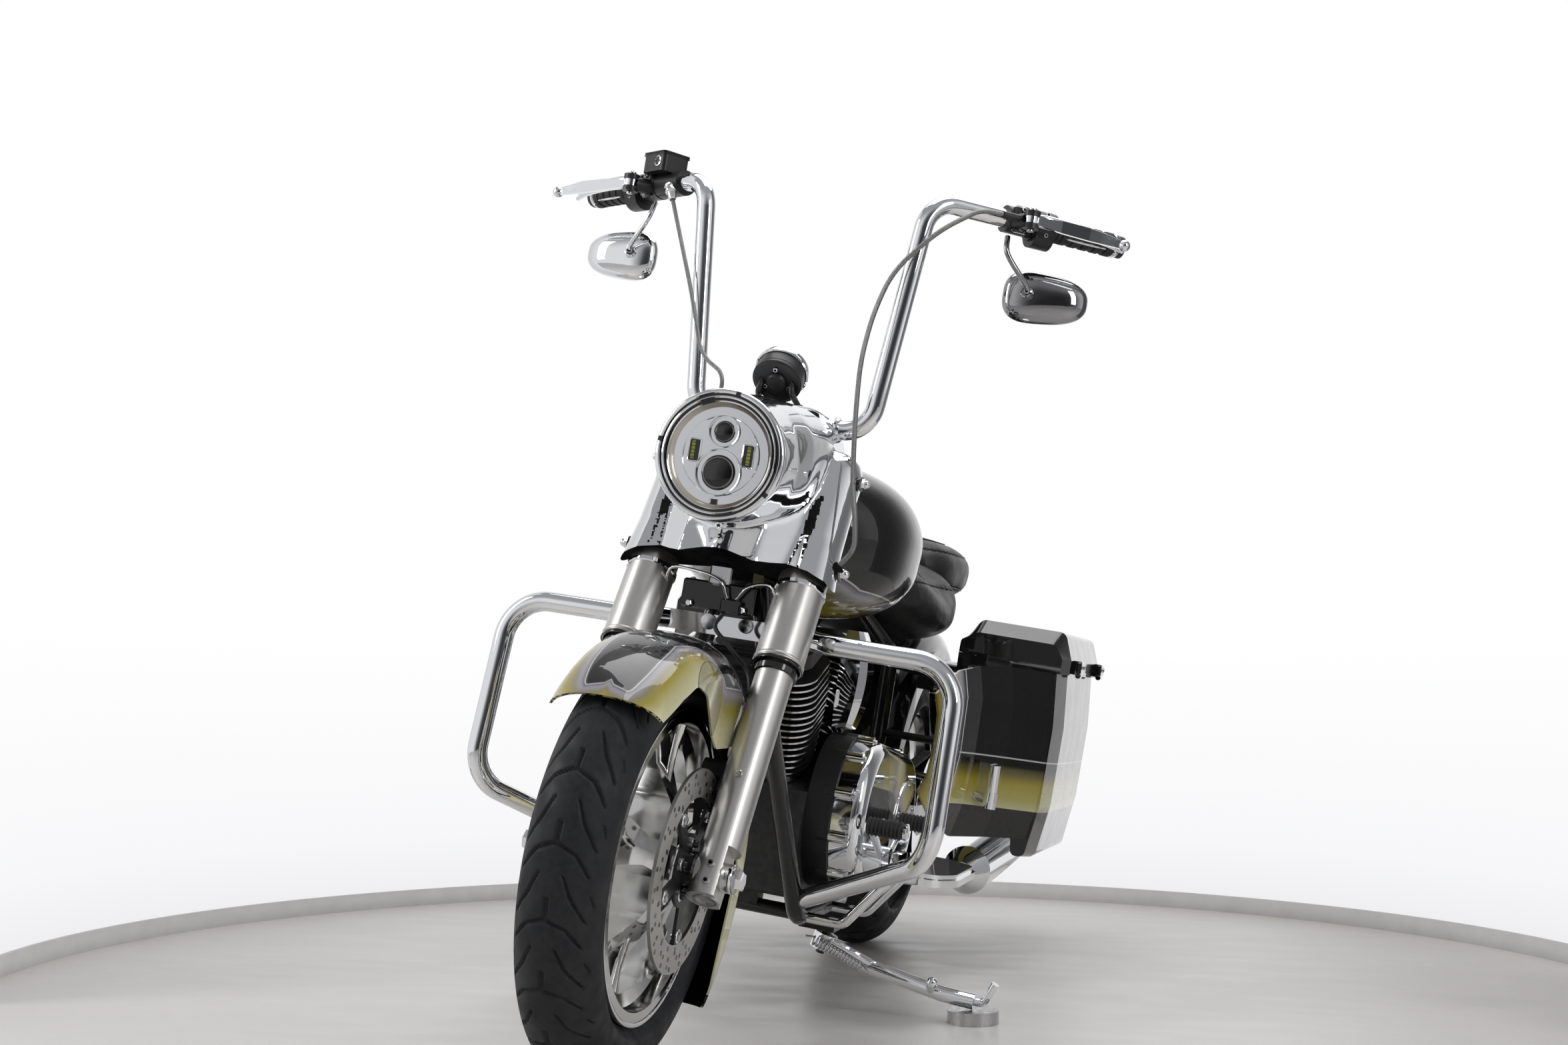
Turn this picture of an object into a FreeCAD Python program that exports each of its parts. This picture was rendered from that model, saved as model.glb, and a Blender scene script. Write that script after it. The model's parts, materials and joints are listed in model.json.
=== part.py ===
"""A tall-barred touring motorcycle leaning on its side stand.

The machine is drawn upright: x to its left, y rearwards, z up, millimetres, with the front tyre's
contact at zero. Every sub-part is then leaned about the crown of the front tyre and moved so that
the whole machine stands on z = 0 with its box centred on the origin.
"""
import FreeCAD
import Part
import math
import os
from FreeCAD import Placement, Rotation, Vector

SIZES = {
    # Stance
    "lean_angle": 8.8,
    "origin_shift_across": 171.4,
    "origin_shift_along": 855.0,
    "wheelbase": 1625.0,
    "rake_angle": 26.0,
    "fork_angle": 29.25,
    "trail_length": 170.0,
    # Wheels and brakes
    "tyre_radius": 320.0,
    "front_tyre_width": 130.0,
    "rear_tyre_width": 180.0,
    "front_crown_radius": 60.0,
    "rear_crown_radius": 90.0,
    "tyre_wall": 10.0,
    "rim_radius": 216.0,
    "rim_lip": 13.0,
    "rim_wall": 7.0,
    "front_rim_width": 96.0,
    "rear_rim_width": 140.0,
    "hub_radius": 40.0,
    "spoke_count": 5.0,
    "disc_radius": 148.0,
    "disc_inner_radius": 106.0,
    "disc_thickness": 5.0,
    "disc_offset": 82.0,
    "disc_hole_radius": 3.5,
    "axle_radius": 12.5,
    "axle_bore_radius": 9.0,
    "running_gap": 0.3,
    "moving_gap": 5.0,
    # Fork and steering
    "fork_spread": 248.0,
    "slider_radius": 30.0,
    "slider_bottom": 38.0,
    "slider_top": 352.0,
    "stanchion_radius": 24.5,
    "fork_cover_radius": 39.0,
    "fork_cover_wall": 2.5,
    "fork_cover_start": 345.0,
    "lower_clamp_start": 505.0,
    "clamp_thickness": 34.0,
    "upper_clamp_start": 688.0,
    "upper_clamp_thickness": 26.0,
    "stem_radius": 19.0,
    "head_tube_radius": 34.0,
    "headlamp_height": 928.0,
    "headlamp_front": 100.0,
    "headlamp_radius": 103.0,
    "lens_radius": 84.0,
    "nacelle_wall": 3.0,
    "cheek_radius": 46.0,
    "bar_radius": 16.0,
    "bar_height": 1420.0,
    "bar_half_width": 481.0,
    "bar_end_rearward": 629.0,
    "grip_radius": 19.0,
    "grip_length": 128.0,
    "mirror_height": 1301.0,
    "mirror_spread": 386.0,
    "gauge_radius": 42.0,
    "gauge_depth": 36.0,
    "cable_radius": 4.0,
    "hose_radius": 3.5,
    # Fenders
    "front_fender_half_width": 90.0,
    "front_fender_radius": 336.0,
    "rear_fender_half_width": 108.0,
    "rear_fender_radius": 404.0,
    "fender_wall": 3.0,
    # Frame
    "frame_tube_radius": 16.0,
    "backbone_radius": 25.0,
    "cradle_half_width": 112.0,
    "cradle_height": 192.0,
    "pivot_rearward": 1196.0,
    "pivot_height": 330.0,
    # Engine
    "crank_rearward": 690.0,
    "crank_height": 330.0,
    "cylinder_angle": 22.5,
    "cylinder_start": 120.0,
    "barrel_length": 150.0,
    "head_length": 62.0,
    "rocker_length": 38.0,
    "fin_half_width": 98.0,
    "fin_half_depth": 78.0,
    "fin_thickness": 3.0,
    "fin_pitch": 12.5,
    "core_radius": 58.0,
    "crankcase_right": 88.0,
    "crankcase_left": 104.0,
    "primary_outer": 206.0,
    "primary_front_radius": 138.0,
    "primary_rear_radius": 136.0,
    # Guard, boards, stand
    "guard_radius": 16.5,
    "guard_half_width": 384.0,
    "board_width": 140.0,
    "board_length": 300.0,
    "board_thickness": 20.0,
    "board_height": 300.0,
    "stand_radius": 13.0,
    "puck_radius": 44.0,
    "puck_height": 22.0,
    "puck_across": 429.0,
    "puck_rearward": 648.0,
    # Body
    "tank_half_width": 210.0,
    "tank_top": 985.0,
    "tank_bottom": 706.0,
    "seat_half_width": 192.0,
    "pillion_top": 919.0,
    "bag_front": 1272.0,
    "bag_rear": 1890.0,
    "bag_outer": 436.0,
    "bag_inner": 205.0,
    "bag_seam": 678.0,
    "bag_bottom": 292.0,
    "bag_wall": 4.0,
    "lid_top": 760.0,
    "lid_gap": 0.4,
    "muffler_radius": 48.0,
    "pipe_radius": 22.0,
}

doc = FreeCAD.newDocument("TouringMotorcycle")
sheet = doc.addObject("Spreadsheet::Sheet", "Sizes")
for row, (alias, value) in enumerate(SIZES.items(), start=1):
    sheet.set(f"A{row}", alias)
    sheet.set(f"B{row}", str(value))
    sheet.setAlias(f"B{row}", alias)
doc.recompute()

ACROSS = Vector(1, 0, 0)
REARWARD = Vector(0, 1, 0)
UP = Vector(0, 0, 1)


def size(alias):
    """One driving dimension, read from the sheet."""
    return float(sheet.get(alias))


def turned(angle):
    """Sine and cosine of an angle in degrees."""
    return math.sin(math.radians(angle)), math.cos(math.radians(angle))


RAKE_SIN, RAKE_COS = turned(size("rake_angle"))
FORK_SIN, FORK_COS = turned(size("fork_angle"))
LEAN_SIN, LEAN_COS = turned(size("lean_angle"))
FORK_X = size("fork_spread") / 2
FRONT_AXLE = Vector(0, 0, size("tyre_radius"))
CROWN_DROP = size("rear_crown_radius") - size("front_crown_radius")
REAR_AXLE = Vector(0, size("wheelbase"), size("tyre_radius") + CROWN_DROP / LEAN_COS - CROWN_DROP)
CRANK = Vector(0, size("crank_rearward"), size("crank_height"))

# The crown of the front tyre is the line that the lean turns about.
LEAN_CENTRE = Vector(0, 0, size("front_crown_radius"))
TO_ORIGIN = Vector(-size("origin_shift_across"), -size("origin_shift_along"), 0)
LEANED = Placement(TO_ORIGIN, Rotation()).multiply(
    Placement(Vector(), Rotation(REARWARD, size("lean_angle")), LEAN_CENTRE)
)
STANDING = Placement(TO_ORIGIN, Rotation())
UNLEANED = Placement(Vector(), Rotation(REARWARD, -size("lean_angle")), LEAN_CENTRE)

nodes = []


def publish(name, shape, place=LEANED):
    """A sub-part whose shape is worked out from the sheet."""
    part = doc.addObject("Part::Feature", name)
    part.Label = name
    part.Shape = shape
    part.Placement = place.multiply(shape.Placement)
    nodes.append(part)
    return part


def publish_tree(part, name, local=Placement()):
    """A sub-part made of bound primitives, put at its place on the machine."""
    part.Label = name
    part.Placement = LEANED.multiply(local)
    nodes.append(part)
    return part


def bound(kind, name, place=Placement(), **formulas):
    """A primitive whose sizes follow the sheet."""
    part = doc.addObject("Part::" + kind, name)
    for prop, formula in formulas.items():
        part.setExpression(prop, formula)
    part.Placement = place
    return part


def bound_cut(name, base, tool):
    part = doc.addObject("Part::Cut", name)
    part.Base = base
    part.Tool = tool
    return part


def bound_fuse(name, parts):
    part = doc.addObject("Part::MultiFuse", name)
    part.Shapes = parts
    return part


def fork_point(across, along, behind=0.0):
    """A point of the fork: along its legs from the axle, and behind their plane."""
    return FRONT_AXLE + Vector(
        across,
        along * FORK_SIN + behind * FORK_COS,
        along * FORK_COS - behind * FORK_SIN,
    )


def steering_point(height):
    """The steering axis at a height above the floor."""
    return Vector(0, height * RAKE_SIN / RAKE_COS - size("trail_length"), height)


FORK_DIRECTION = Vector(0, FORK_SIN, FORK_COS)
STEERING_DIRECTION = Vector(0, RAKE_SIN, RAKE_COS)


def mirrored(shape):
    return shape.mirror(Vector(), ACROSS)


def mirror_point(point):
    return Vector(-point.x, point.y, point.z)


def both_sides(shape):
    """The left piece with its twin on the right, as two solids."""
    return Part.makeCompound([shape, mirrored(shape)])


def joined(*shapes):
    return shapes[0].multiFuse(list(shapes[1:])).removeSplitter()


def rod(start, end, radius):
    return Part.makeCylinder(radius, (end - start).Length, start, end - start)


def taper(start, end, start_radius, end_radius):
    return Part.makeCone(start_radius, end_radius, (end - start).Length, start, end - start)


def block(x_low, x_high, y_low, y_high, z_low, z_high):
    return Part.makeBox(
        x_high - x_low, y_high - y_low, z_high - z_low, Vector(x_low, y_low, z_low)
    )


def round_edges(points, bends, closed=False):
    """Straight runs joined by tangent arcs."""
    count = len(points)
    bends = bends if isinstance(bends, (list, tuple)) else [bends] * count
    corners = range(count) if closed else range(1, count - 1)
    edges = []
    start = None if closed else points[0]
    first = None
    for index in corners:
        here = points[index]
        back = (points[index - 1] - here).normalize()
        ahead = (points[(index + 1) % count] - here).normalize()
        turn = math.pi - back.getAngle(ahead)
        shorter = min((points[index - 1] - here).Length, (points[(index + 1) % count] - here).Length)
        reach = min(bends[index] * math.tan(turn / 2), 0.47 * shorter)
        if bends[index] <= 0 or turn < 1e-6:
            leave = here
            enter = here
        else:
            bend = reach / math.tan(turn / 2)
            enter = here + back * reach
            leave = here + ahead * reach
        if start is not None and (enter - start).Length > 1e-6:
            edges.append(Part.LineSegment(start, enter).toShape())
        if first is None:
            first = enter
        if enter is not leave:
            inward = (back + ahead).normalize()
            middle = here + inward * (bend / math.cos(turn / 2) - bend)
            edges.append(Part.Arc(enter, middle, leave).toShape())
        start = leave
    last = first if closed else points[-1]
    if (last - start).Length > 1e-6:
        edges.append(Part.LineSegment(start, last).toShape())
    return edges


def tube(points, radius, bends, bore=0.0):
    """A round tube along straight runs joined by tangent arcs."""
    path = Part.Wire(round_edges(points, bends))
    direction = points[1] - points[0]
    outside = Part.Wire(Part.makeCircle(radius, points[0], direction))
    shape = path.makePipeShell([outside], True, False)
    if bore > 0:
        inside = Part.Wire(Part.makeCircle(bore, points[0], direction))
        shape = shape.cut(path.makePipeShell([inside], True, False))
    return shape


def side_prism(outline, x_low, x_high, bends=0.0):
    """An outline of (y, z) points, pushed across the machine."""
    points = [Vector(x_low, y, z) for y, z in outline]
    face = Part.Face(Part.Wire(round_edges(points, bends, closed=True)))
    return face.extrude(ACROSS * (x_high - x_low))


def front_prism(outline, y_low, y_high, bends=0.0):
    """An outline of (x, z) points, pushed rearwards."""
    points = [Vector(x, y_low, z) for x, z in outline]
    face = Part.Face(Part.Wire(round_edges(points, bends, closed=True)))
    return face.extrude(REARWARD * (y_high - y_low))


def plan_prism(outline, z_low, z_high, bends=0.0):
    """An outline of (x, y) points, pushed up."""
    points = [Vector(x, y, z_low) for x, y in outline]
    face = Part.Face(Part.Wire(round_edges(points, bends, closed=True)))
    return face.extrude(UP * (z_high - z_low))


def oval(rearward, half_width, top, bottom, squareness=2.4, belly=0.0, count=20):
    """A closed smooth section across the machine; belly widens its lower half."""
    middle = (top + bottom) / 2
    half_height = (top - bottom) / 2
    points = []
    for step in range(count):
        turn = 2 * math.pi * step / count
        cosine = math.cos(turn)
        sine = math.sin(turn)
        x = half_width * math.copysign(abs(cosine) ** (2 / squareness), cosine)
        rise = math.copysign(abs(sine) ** (2 / squareness), sine)
        points.append(Vector(x * (1 - belly * rise), rearward, middle + half_height * rise))
    curve = Part.BSplineCurve()
    curve.interpolate(Points=points, PeriodicFlag=True)
    return Part.Wire(curve.toShape())


def loft(sections, ruled=False):
    return Part.makeLoft(sections, True, ruled)


def ring_about(centre, section, angle=360.0, start=0.0):
    """A section of (x, radius) points turned about an axle."""
    points = [centre + Vector(x, 0, radius) for x, radius in section]
    face = Part.Face(Part.makePolygon(points + [points[0]]))
    if start:
        face.rotate(centre, ACROSS, start)
    return face.revolve(centre, ACROSS, angle)


# Wheels


def side_arc(shoulder_angle, crown_radius, crown_centre, lip):
    """The sidewall's arc, tangent to the crown: its start, middle and end, and its greatest x."""
    sine = math.sin(shoulder_angle)
    cosine = math.cos(shoulder_angle)
    start = (crown_radius * sine, crown_centre + crown_radius * cosine)
    across = lip[0] - start[0]
    down = lip[1] - start[1]
    radius = -(across ** 2 + down ** 2) / (2 * (across * sine + down * cosine))
    centre = (start[0] - radius * sine, start[1] - radius * cosine)
    last_angle = math.atan2(lip[0] - centre[0], lip[1] - centre[1])
    half_way = (shoulder_angle + last_angle) / 2
    middle = (centre[0] + radius * math.sin(half_way), centre[1] + radius * math.cos(half_way))
    widest = centre[0] + radius if last_angle > math.pi / 2 else lip[0]
    return start, middle, widest


def tyre_outline(width, crown_radius, lip, inset):
    """Half of a tyre's outline from the rim's lip to the crown, as (x, radius) points."""
    crown_centre = size("tyre_radius") - crown_radius
    low = math.radians(20)
    high = math.radians(88)
    for _ in range(40):
        angle = (low + high) / 2
        if side_arc(angle, crown_radius, crown_centre, lip)[2] > width / 2:
            high = angle
        else:
            low = angle
    crown = crown_radius - inset
    inner_lip = (lip[0] - inset, lip[1])
    shoulder, side, _ = side_arc(angle, crown, crown_centre, inner_lip)
    middle = (crown * math.sin(angle / 2), crown_centre + crown * math.cos(angle / 2))
    return inner_lip, side, shoulder, middle, (0.0, size("tyre_radius") - inset)


def tyre(centre, width, crown_radius, rim_width):
    """A hollow carcass, closed by the rim's well."""
    bead_radius = size("rim_radius") + size("running_gap")
    bead_half = rim_width / 2 - size("rim_wall") - size("running_gap")
    lip = (bead_half, size("rim_radius") + size("rim_lip") + 1)
    edges = []
    ends = []
    for inset in (0.0, size("tyre_wall")):
        outline = tyre_outline(width, crown_radius, lip, inset)
        for sign in (1, -1):
            place = [centre + Vector(sign * x, 0, radius) for x, radius in outline]
            bead = centre + Vector(sign * outline[0][0], 0, bead_radius)
            edges.append(Part.LineSegment(bead, place[0]).toShape())
            edges.append(Part.Arc(place[0], place[1], place[2]).toShape())
            edges.append(Part.Arc(place[2], place[3], place[4]).toShape())
            ends.append(bead)
    edges.append(Part.LineSegment(ends[0], ends[2]).toShape())
    edges.append(Part.LineSegment(ends[1], ends[3]).toShape())
    wire = Part.Wire(Part.__sortEdges__(edges))
    return Part.Face(wire).revolve(centre, ACROSS, 360)


def rim(centre, width):
    """A cast wheel: a dropped barrel, a hub and pairs of arms that fork from thick spokes."""
    half = width / 2
    outer = size("rim_radius")
    lip = outer + size("rim_lip")
    wall = size("rim_wall")
    well = outer - 20
    barrel = ring_about(centre, [
        (-half, lip), (-half + wall, lip), (-half + wall, outer), (-half + 24, outer - 3),
        (-half + 34, well), (half - 34, well), (half - 24, outer - 3), (half - wall, outer),
        (half - wall, lip), (half, lip), (half, outer - wall), (half - 22, outer - 3 - wall),
        (half - 32, well - wall), (-half + 32, well - wall), (-half + 22, outer - 3 - wall),
        (-half, outer - wall),
    ])
    inner = well - wall
    hub_half = size("disc_offset") - size("disc_thickness") / 2 if width < 120 else half + 26
    hub = Part.makeCylinder(size("hub_radius"), 2 * hub_half, centre - ACROSS * hub_half, ACROSS)
    bore = Part.makeCylinder(
        size("axle_radius") + size("running_gap"), 2 * hub_half, centre - ACROSS * hub_half, ACROSS
    )
    spoke = side_prism(
        [(-25, 20), (25, 20), (20, 96), (34, 140), (56, inner + 2), (30, inner + 4), (0, 122),
         (-30, inner + 4), (-56, inner + 2), (-34, 140), (-20, 96)],
        -width, width, [0, 0, 30, 40, 0, 0, 9, 0, 0, 40, 30],
    )
    spoke.translate(centre)
    envelope = ring_about(centre, [
        (-hub_half + 6, 10), (hub_half - 6, 10), (hub_half - 10, 52), (half * 0.52, 150),
        (half * 0.46, inner + 4), (-half * 0.46, inner + 4), (-half * 0.52, 150), (-hub_half + 10, 52),
    ])
    spoke = spoke.common(envelope)
    count = int(size("spoke_count"))
    spokes = []
    for index in range(count):
        copy = spoke.copy()
        copy.rotate(centre, ACROSS, 360 * index / count)
        spokes.append(copy)
    return joined(barrel, hub, *spokes).cut(bore)


def brake_disc(name, offset, centre, hole_count=30):
    """A drilled ring on a spider that bolts to the hub."""
    ring = bound("Cylinder", name + "_ring", Radius="Sizes.disc_radius", Height="Sizes.disc_thickness")
    window = bound("Cylinder", name + "_window", Radius="Sizes.disc_inner_radius",
                   Height="Sizes.disc_thickness")
    rows = []
    for index in range(hole_count):
        turn = 2 * math.pi * index / hole_count
        row = size("disc_inner_radius") + (12 + 10 * (index % 3)) * (
            size("disc_radius") - size("disc_inner_radius")) / 42
        rows.append(bound(
            "Cylinder", f"{name}_hole_{index}",
            Placement(Vector(row * math.cos(turn), row * math.sin(turn), 0), Rotation()),
            Radius="Sizes.disc_hole_radius", Height="Sizes.disc_thickness",
        ))
    open_ring = bound_cut(name + "_open", bound_cut(name + "_plate", ring, window),
                          bound_fuse(name + "_holes", rows))
    collar = bound("Cylinder", name + "_collar", Radius="Sizes.hub_radius + 14",
                   Height="Sizes.disc_thickness")
    arms = []
    for index in range(5):
        arm = bound("Box", f"{name}_arm_{index}", Length="Sizes.disc_inner_radius + 6", Width="22",
                    Height="Sizes.disc_thickness")
        turn = Rotation(UP, 72 * index)
        arm.Placement = Placement(turn.multVec(Vector(0, -11, 0)), turn)
        arms.append(arm)
    hole = bound("Cylinder", name + "_bore", Radius="Sizes.axle_radius + 6",
                 Height="Sizes.disc_thickness")
    disc = bound_cut(name, bound_fuse(name + "_body", [open_ring, collar] + arms), hole)
    local = Placement(centre + ACROSS * offset, Rotation(REARWARD, 90))
    return publish_tree(disc, name, local)


def front_wheel():
    publish("front_tyre", tyre(FRONT_AXLE, size("front_tyre_width"), size("front_crown_radius"),
                               size("front_rim_width")))
    publish("front_rim", rim(FRONT_AXLE, size("front_rim_width")))
    brake_disc("front_disc", size("disc_offset") - size("disc_thickness") / 2, FRONT_AXLE)


PULLEY_WIDTH = 26.0
PULLEY_RADIUS = 126.0
REAR_HUB_HALF = 96.0


def rear_wheel():
    publish("rear_tyre", tyre(REAR_AXLE, size("rear_tyre_width"), size("rear_crown_radius"),
                              size("rear_rim_width")))
    publish("rear_rim", rim(REAR_AXLE, size("rear_rim_width")))
    brake_disc("rear_disc", -REAR_HUB_HALF - size("disc_thickness"), REAR_AXLE)
    pulley = ring_about(REAR_AXLE, [
        (REAR_HUB_HALF, 18.5), (REAR_HUB_HALF + PULLEY_WIDTH, 18.5), (REAR_HUB_HALF + PULLEY_WIDTH, 50),
        (REAR_HUB_HALF + 16, 60), (REAR_HUB_HALF + 16, 112), (REAR_HUB_HALF + PULLEY_WIDTH, 118),
        (REAR_HUB_HALF + PULLEY_WIDTH, PULLEY_RADIUS), (REAR_HUB_HALF, PULLEY_RADIUS),
        (REAR_HUB_HALF, 112), (REAR_HUB_HALF + 6, 100), (REAR_HUB_HALF + 6, 60), (REAR_HUB_HALF, 52),
    ])
    publish("rear_pulley", pulley)


# Fork and steering head


AXLE_SEAT = FORK_X + 16


def front_axle():
    """The hollow axle, with a flanged head on each side of the fork."""
    half = AXLE_SEAT + 16
    axle = bound("Cylinder", "axle_bar", Radius="Sizes.axle_radius", Height=f"{2 * half}")
    head_left = bound("Cylinder", "axle_nut", Placement(Vector(0, 0, 2 * half - 16), Rotation()),
                      Radius="Sizes.axle_radius + 8", Height="16")
    head_right = bound("Cylinder", "axle_head", Radius="Sizes.axle_radius + 8", Height="16")
    bore = bound("Cylinder", "axle_bore", Radius="Sizes.axle_bore_radius", Height=f"{2 * half}")
    body = bound_cut("axle_hollow", bound_fuse("axle_body", [axle, head_left, head_right]), bore)
    publish_tree(body, "front_axle",
                 Placement(FRONT_AXLE - ACROSS * half, Rotation(REARWARD, 90)))


def fork_legs():
    """Sliders with their axle lugs, each one solid with its stanchion."""
    slider = rod(fork_point(FORK_X, -size("slider_bottom")), fork_point(FORK_X, size("slider_top")),
                 size("slider_radius"))
    stanchion = rod(fork_point(FORK_X, 300), fork_point(FORK_X, size("upper_clamp_start")
                    + size("upper_clamp_thickness") + 6), size("stanchion_radius"))
    lug = Part.makeCylinder(26, AXLE_SEAT - FORK_X + 26, Vector(FORK_X - 26, 0, size("tyre_radius")), ACROSS)
    outside = Part.makeBox(40, 90, 90, Vector(AXLE_SEAT, -45, -50))
    outside.rotate(Vector(), ACROSS, -size("fork_angle"))
    outside.translate(FRONT_AXLE)
    fender_boss = rod(fork_point(FORK_X, 193.7), fork_point(92, 193.7), 10)
    hole = Part.makeCylinder(size("axle_radius") + size("running_gap"), 400,
                             FRONT_AXLE - ACROSS * 200, ACROSS)
    caliper_lugs = [
        rod(fork_point(FORK_X - 14, along, 20), fork_point(FORK_X - 14, along, 52), 9)
        for along in (84, 158)
    ]
    leg = joined(slider, stanchion, lug, fender_boss).cut(hole).cut(outside)
    left = joined(leg, *caliper_lugs)
    publish("fork_legs", Part.makeCompound([left, mirrored(leg)]))


def fork_covers():
    """Bright sleeves over the sliders' tops, hung under the lower clamp."""
    start = fork_point(FORK_X, size("fork_cover_start"))
    end = fork_point(FORK_X, size("lower_clamp_start"))
    radius = size("fork_cover_radius")
    cover = rod(start, end, radius).cut(rod(start, end, radius - size("fork_cover_wall")))
    collar = rod(fork_point(FORK_X, size("lower_clamp_start") - 8), end, radius).cut(
        rod(fork_point(FORK_X, size("lower_clamp_start") - 8), end,
            size("stanchion_radius") + size("running_gap")))
    publish("fork_covers", both_sides(joined(cover, collar)))


GLAND_DIRECTION = Vector(0.6, -0.05, 0.8).normalize()
GLAND_START = fork_point(FORK_X + 34, 516)
GLAND_TIP = GLAND_START + GLAND_DIRECTION * 30
BANJO_DIRECTION = Vector(0.42, -0.27, -0.865).normalize()
HOSE_END = Vector(-90, 338, size("headlamp_height") + 112)


def cable_route():
    """The clutch cable from its lever, in a long bow ahead of the bar's left leg, down to the yoke."""
    return [
        bar_point(CONTROL_INNER + 24, 40, -4), bar_point(CONTROL_INNER + 66, 40, -6),
        Vector(222, 384, 1364), Vector(158, 380, 1290), Vector(143, 350, 1211), Vector(142, 318, 1127),
        Vector(155, 292, 1022), Vector(172, 272, 921), Vector(188, 256, 870),
        GLAND_TIP + GLAND_DIRECTION * 34, GLAND_TIP,
    ]


def hose_route():
    """The brake hose from the fluid box, down ahead of the bar's right leg to the nacelle's roof."""
    return [
        banjo_place() + BANJO_DIRECTION * 16, Vector(-215, 400, 1288), Vector(-176, 372, 1207),
        Vector(-142, 362, 1112), HOSE_END + UP * 42, HOSE_END,
    ]


def banjo_place():
    return mirror_point(bar_point(CONTROL_INNER + 62, 22, -18))


def clamp_plate(start, thickness, boss_radius, stem_behind):
    """One fork yoke: two bosses on the legs and a web round the stem."""
    outline = [
        (-FORK_X, 12), (0, -8), (FORK_X, 12),
        (FORK_X, -boss_radius), (0, stem_behind - 36), (-FORK_X, -boss_radius),
    ]
    points = [fork_point(x, start, behind) for x, behind in outline]
    web = Part.Face(Part.makePolygon(points + [points[0]])).extrude(FORK_DIRECTION * thickness)
    bosses = [rod(fork_point(sign * FORK_X, start), fork_point(sign * FORK_X, start + thickness),
                  boss_radius) for sign in (1, -1)]
    legs = [rod(fork_point(sign * FORK_X, start), fork_point(sign * FORK_X, start + thickness),
                size("stanchion_radius")) for sign in (1, -1)]
    return joined(web, *bosses).cut(Part.makeCompound(legs))


BAR_FOOT = Vector(0, 407, 1020)


def triple_clamps():
    """Both yokes joined by the stem, with the bar risers on top."""
    lower = clamp_plate(size("lower_clamp_start"), size("clamp_thickness"), 38, -42)
    upper = clamp_plate(size("upper_clamp_start"), size("upper_clamp_thickness"), 36, -52)
    stem = rod(steering_point(770), steering_point(984), size("stem_radius"))
    risers = [rod(fork_point(x, size("upper_clamp_start") + 8, -16), Vector(x, 406, 1000), 17)
              for x in (44, -44)]
    saddle = [rod(BAR_FOOT + ACROSS * (x - 16), BAR_FOOT + ACROSS * (x + 16), 27) for x in (44, -44)]
    bar_way = rod(BAR_FOOT - ACROSS * 80, BAR_FOOT + ACROSS * 80, size("bar_radius"))
    gland = rod(GLAND_START - GLAND_DIRECTION * 8, GLAND_TIP, 7)
    return joined(lower, upper, stem, *risers, *saddle, gland).cut(bar_way)


BAR_END = Vector(size("bar_half_width"), size("bar_end_rearward"), size("bar_height"))
BAR_TOP = Vector(196, 410, size("bar_height"))
BAR_RUN = (BAR_END - BAR_TOP).normalize()


def bar_route():
    """The bar's corners from its right end over the foot to its left end."""
    side = [BAR_FOOT + ACROSS * 152, BAR_TOP, BAR_END]
    return [mirror_point(point) for point in reversed(side)] + side


def handlebar():
    """One bent tube, tall and narrow at its foot."""
    publish("handlebar", tube(bar_route(), size("bar_radius"), 52, size("bar_radius") - 3))


def bar_point(inward, forward=0.0, rise=0.0):
    """A point beside the bar's end run: inward from its tip, forward of it and above it."""
    ahead = Vector(BAR_RUN.y, -BAR_RUN.x, 0)
    return BAR_END - BAR_RUN * inward + ahead * forward + UP * rise


def grips():
    """Ribbed grips pushed over the bar's ends."""
    inner = size("bar_radius")
    outer = size("grip_radius")
    grip = rod(bar_point(size("grip_length")), bar_point(0), outer)
    for index in range(5):
        station = 14 + index * 22
        grip = grip.fuse(rod(bar_point(station + 11), bar_point(station), outer + 1.6))
    cap = rod(bar_point(0), bar_point(-10), outer)
    grip = joined(grip.cut(rod(bar_point(size("grip_length")), bar_point(0), inner)), cap)
    publish("grips", both_sides(grip))


CONTROL_INNER = size("grip_length") + 92


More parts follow.
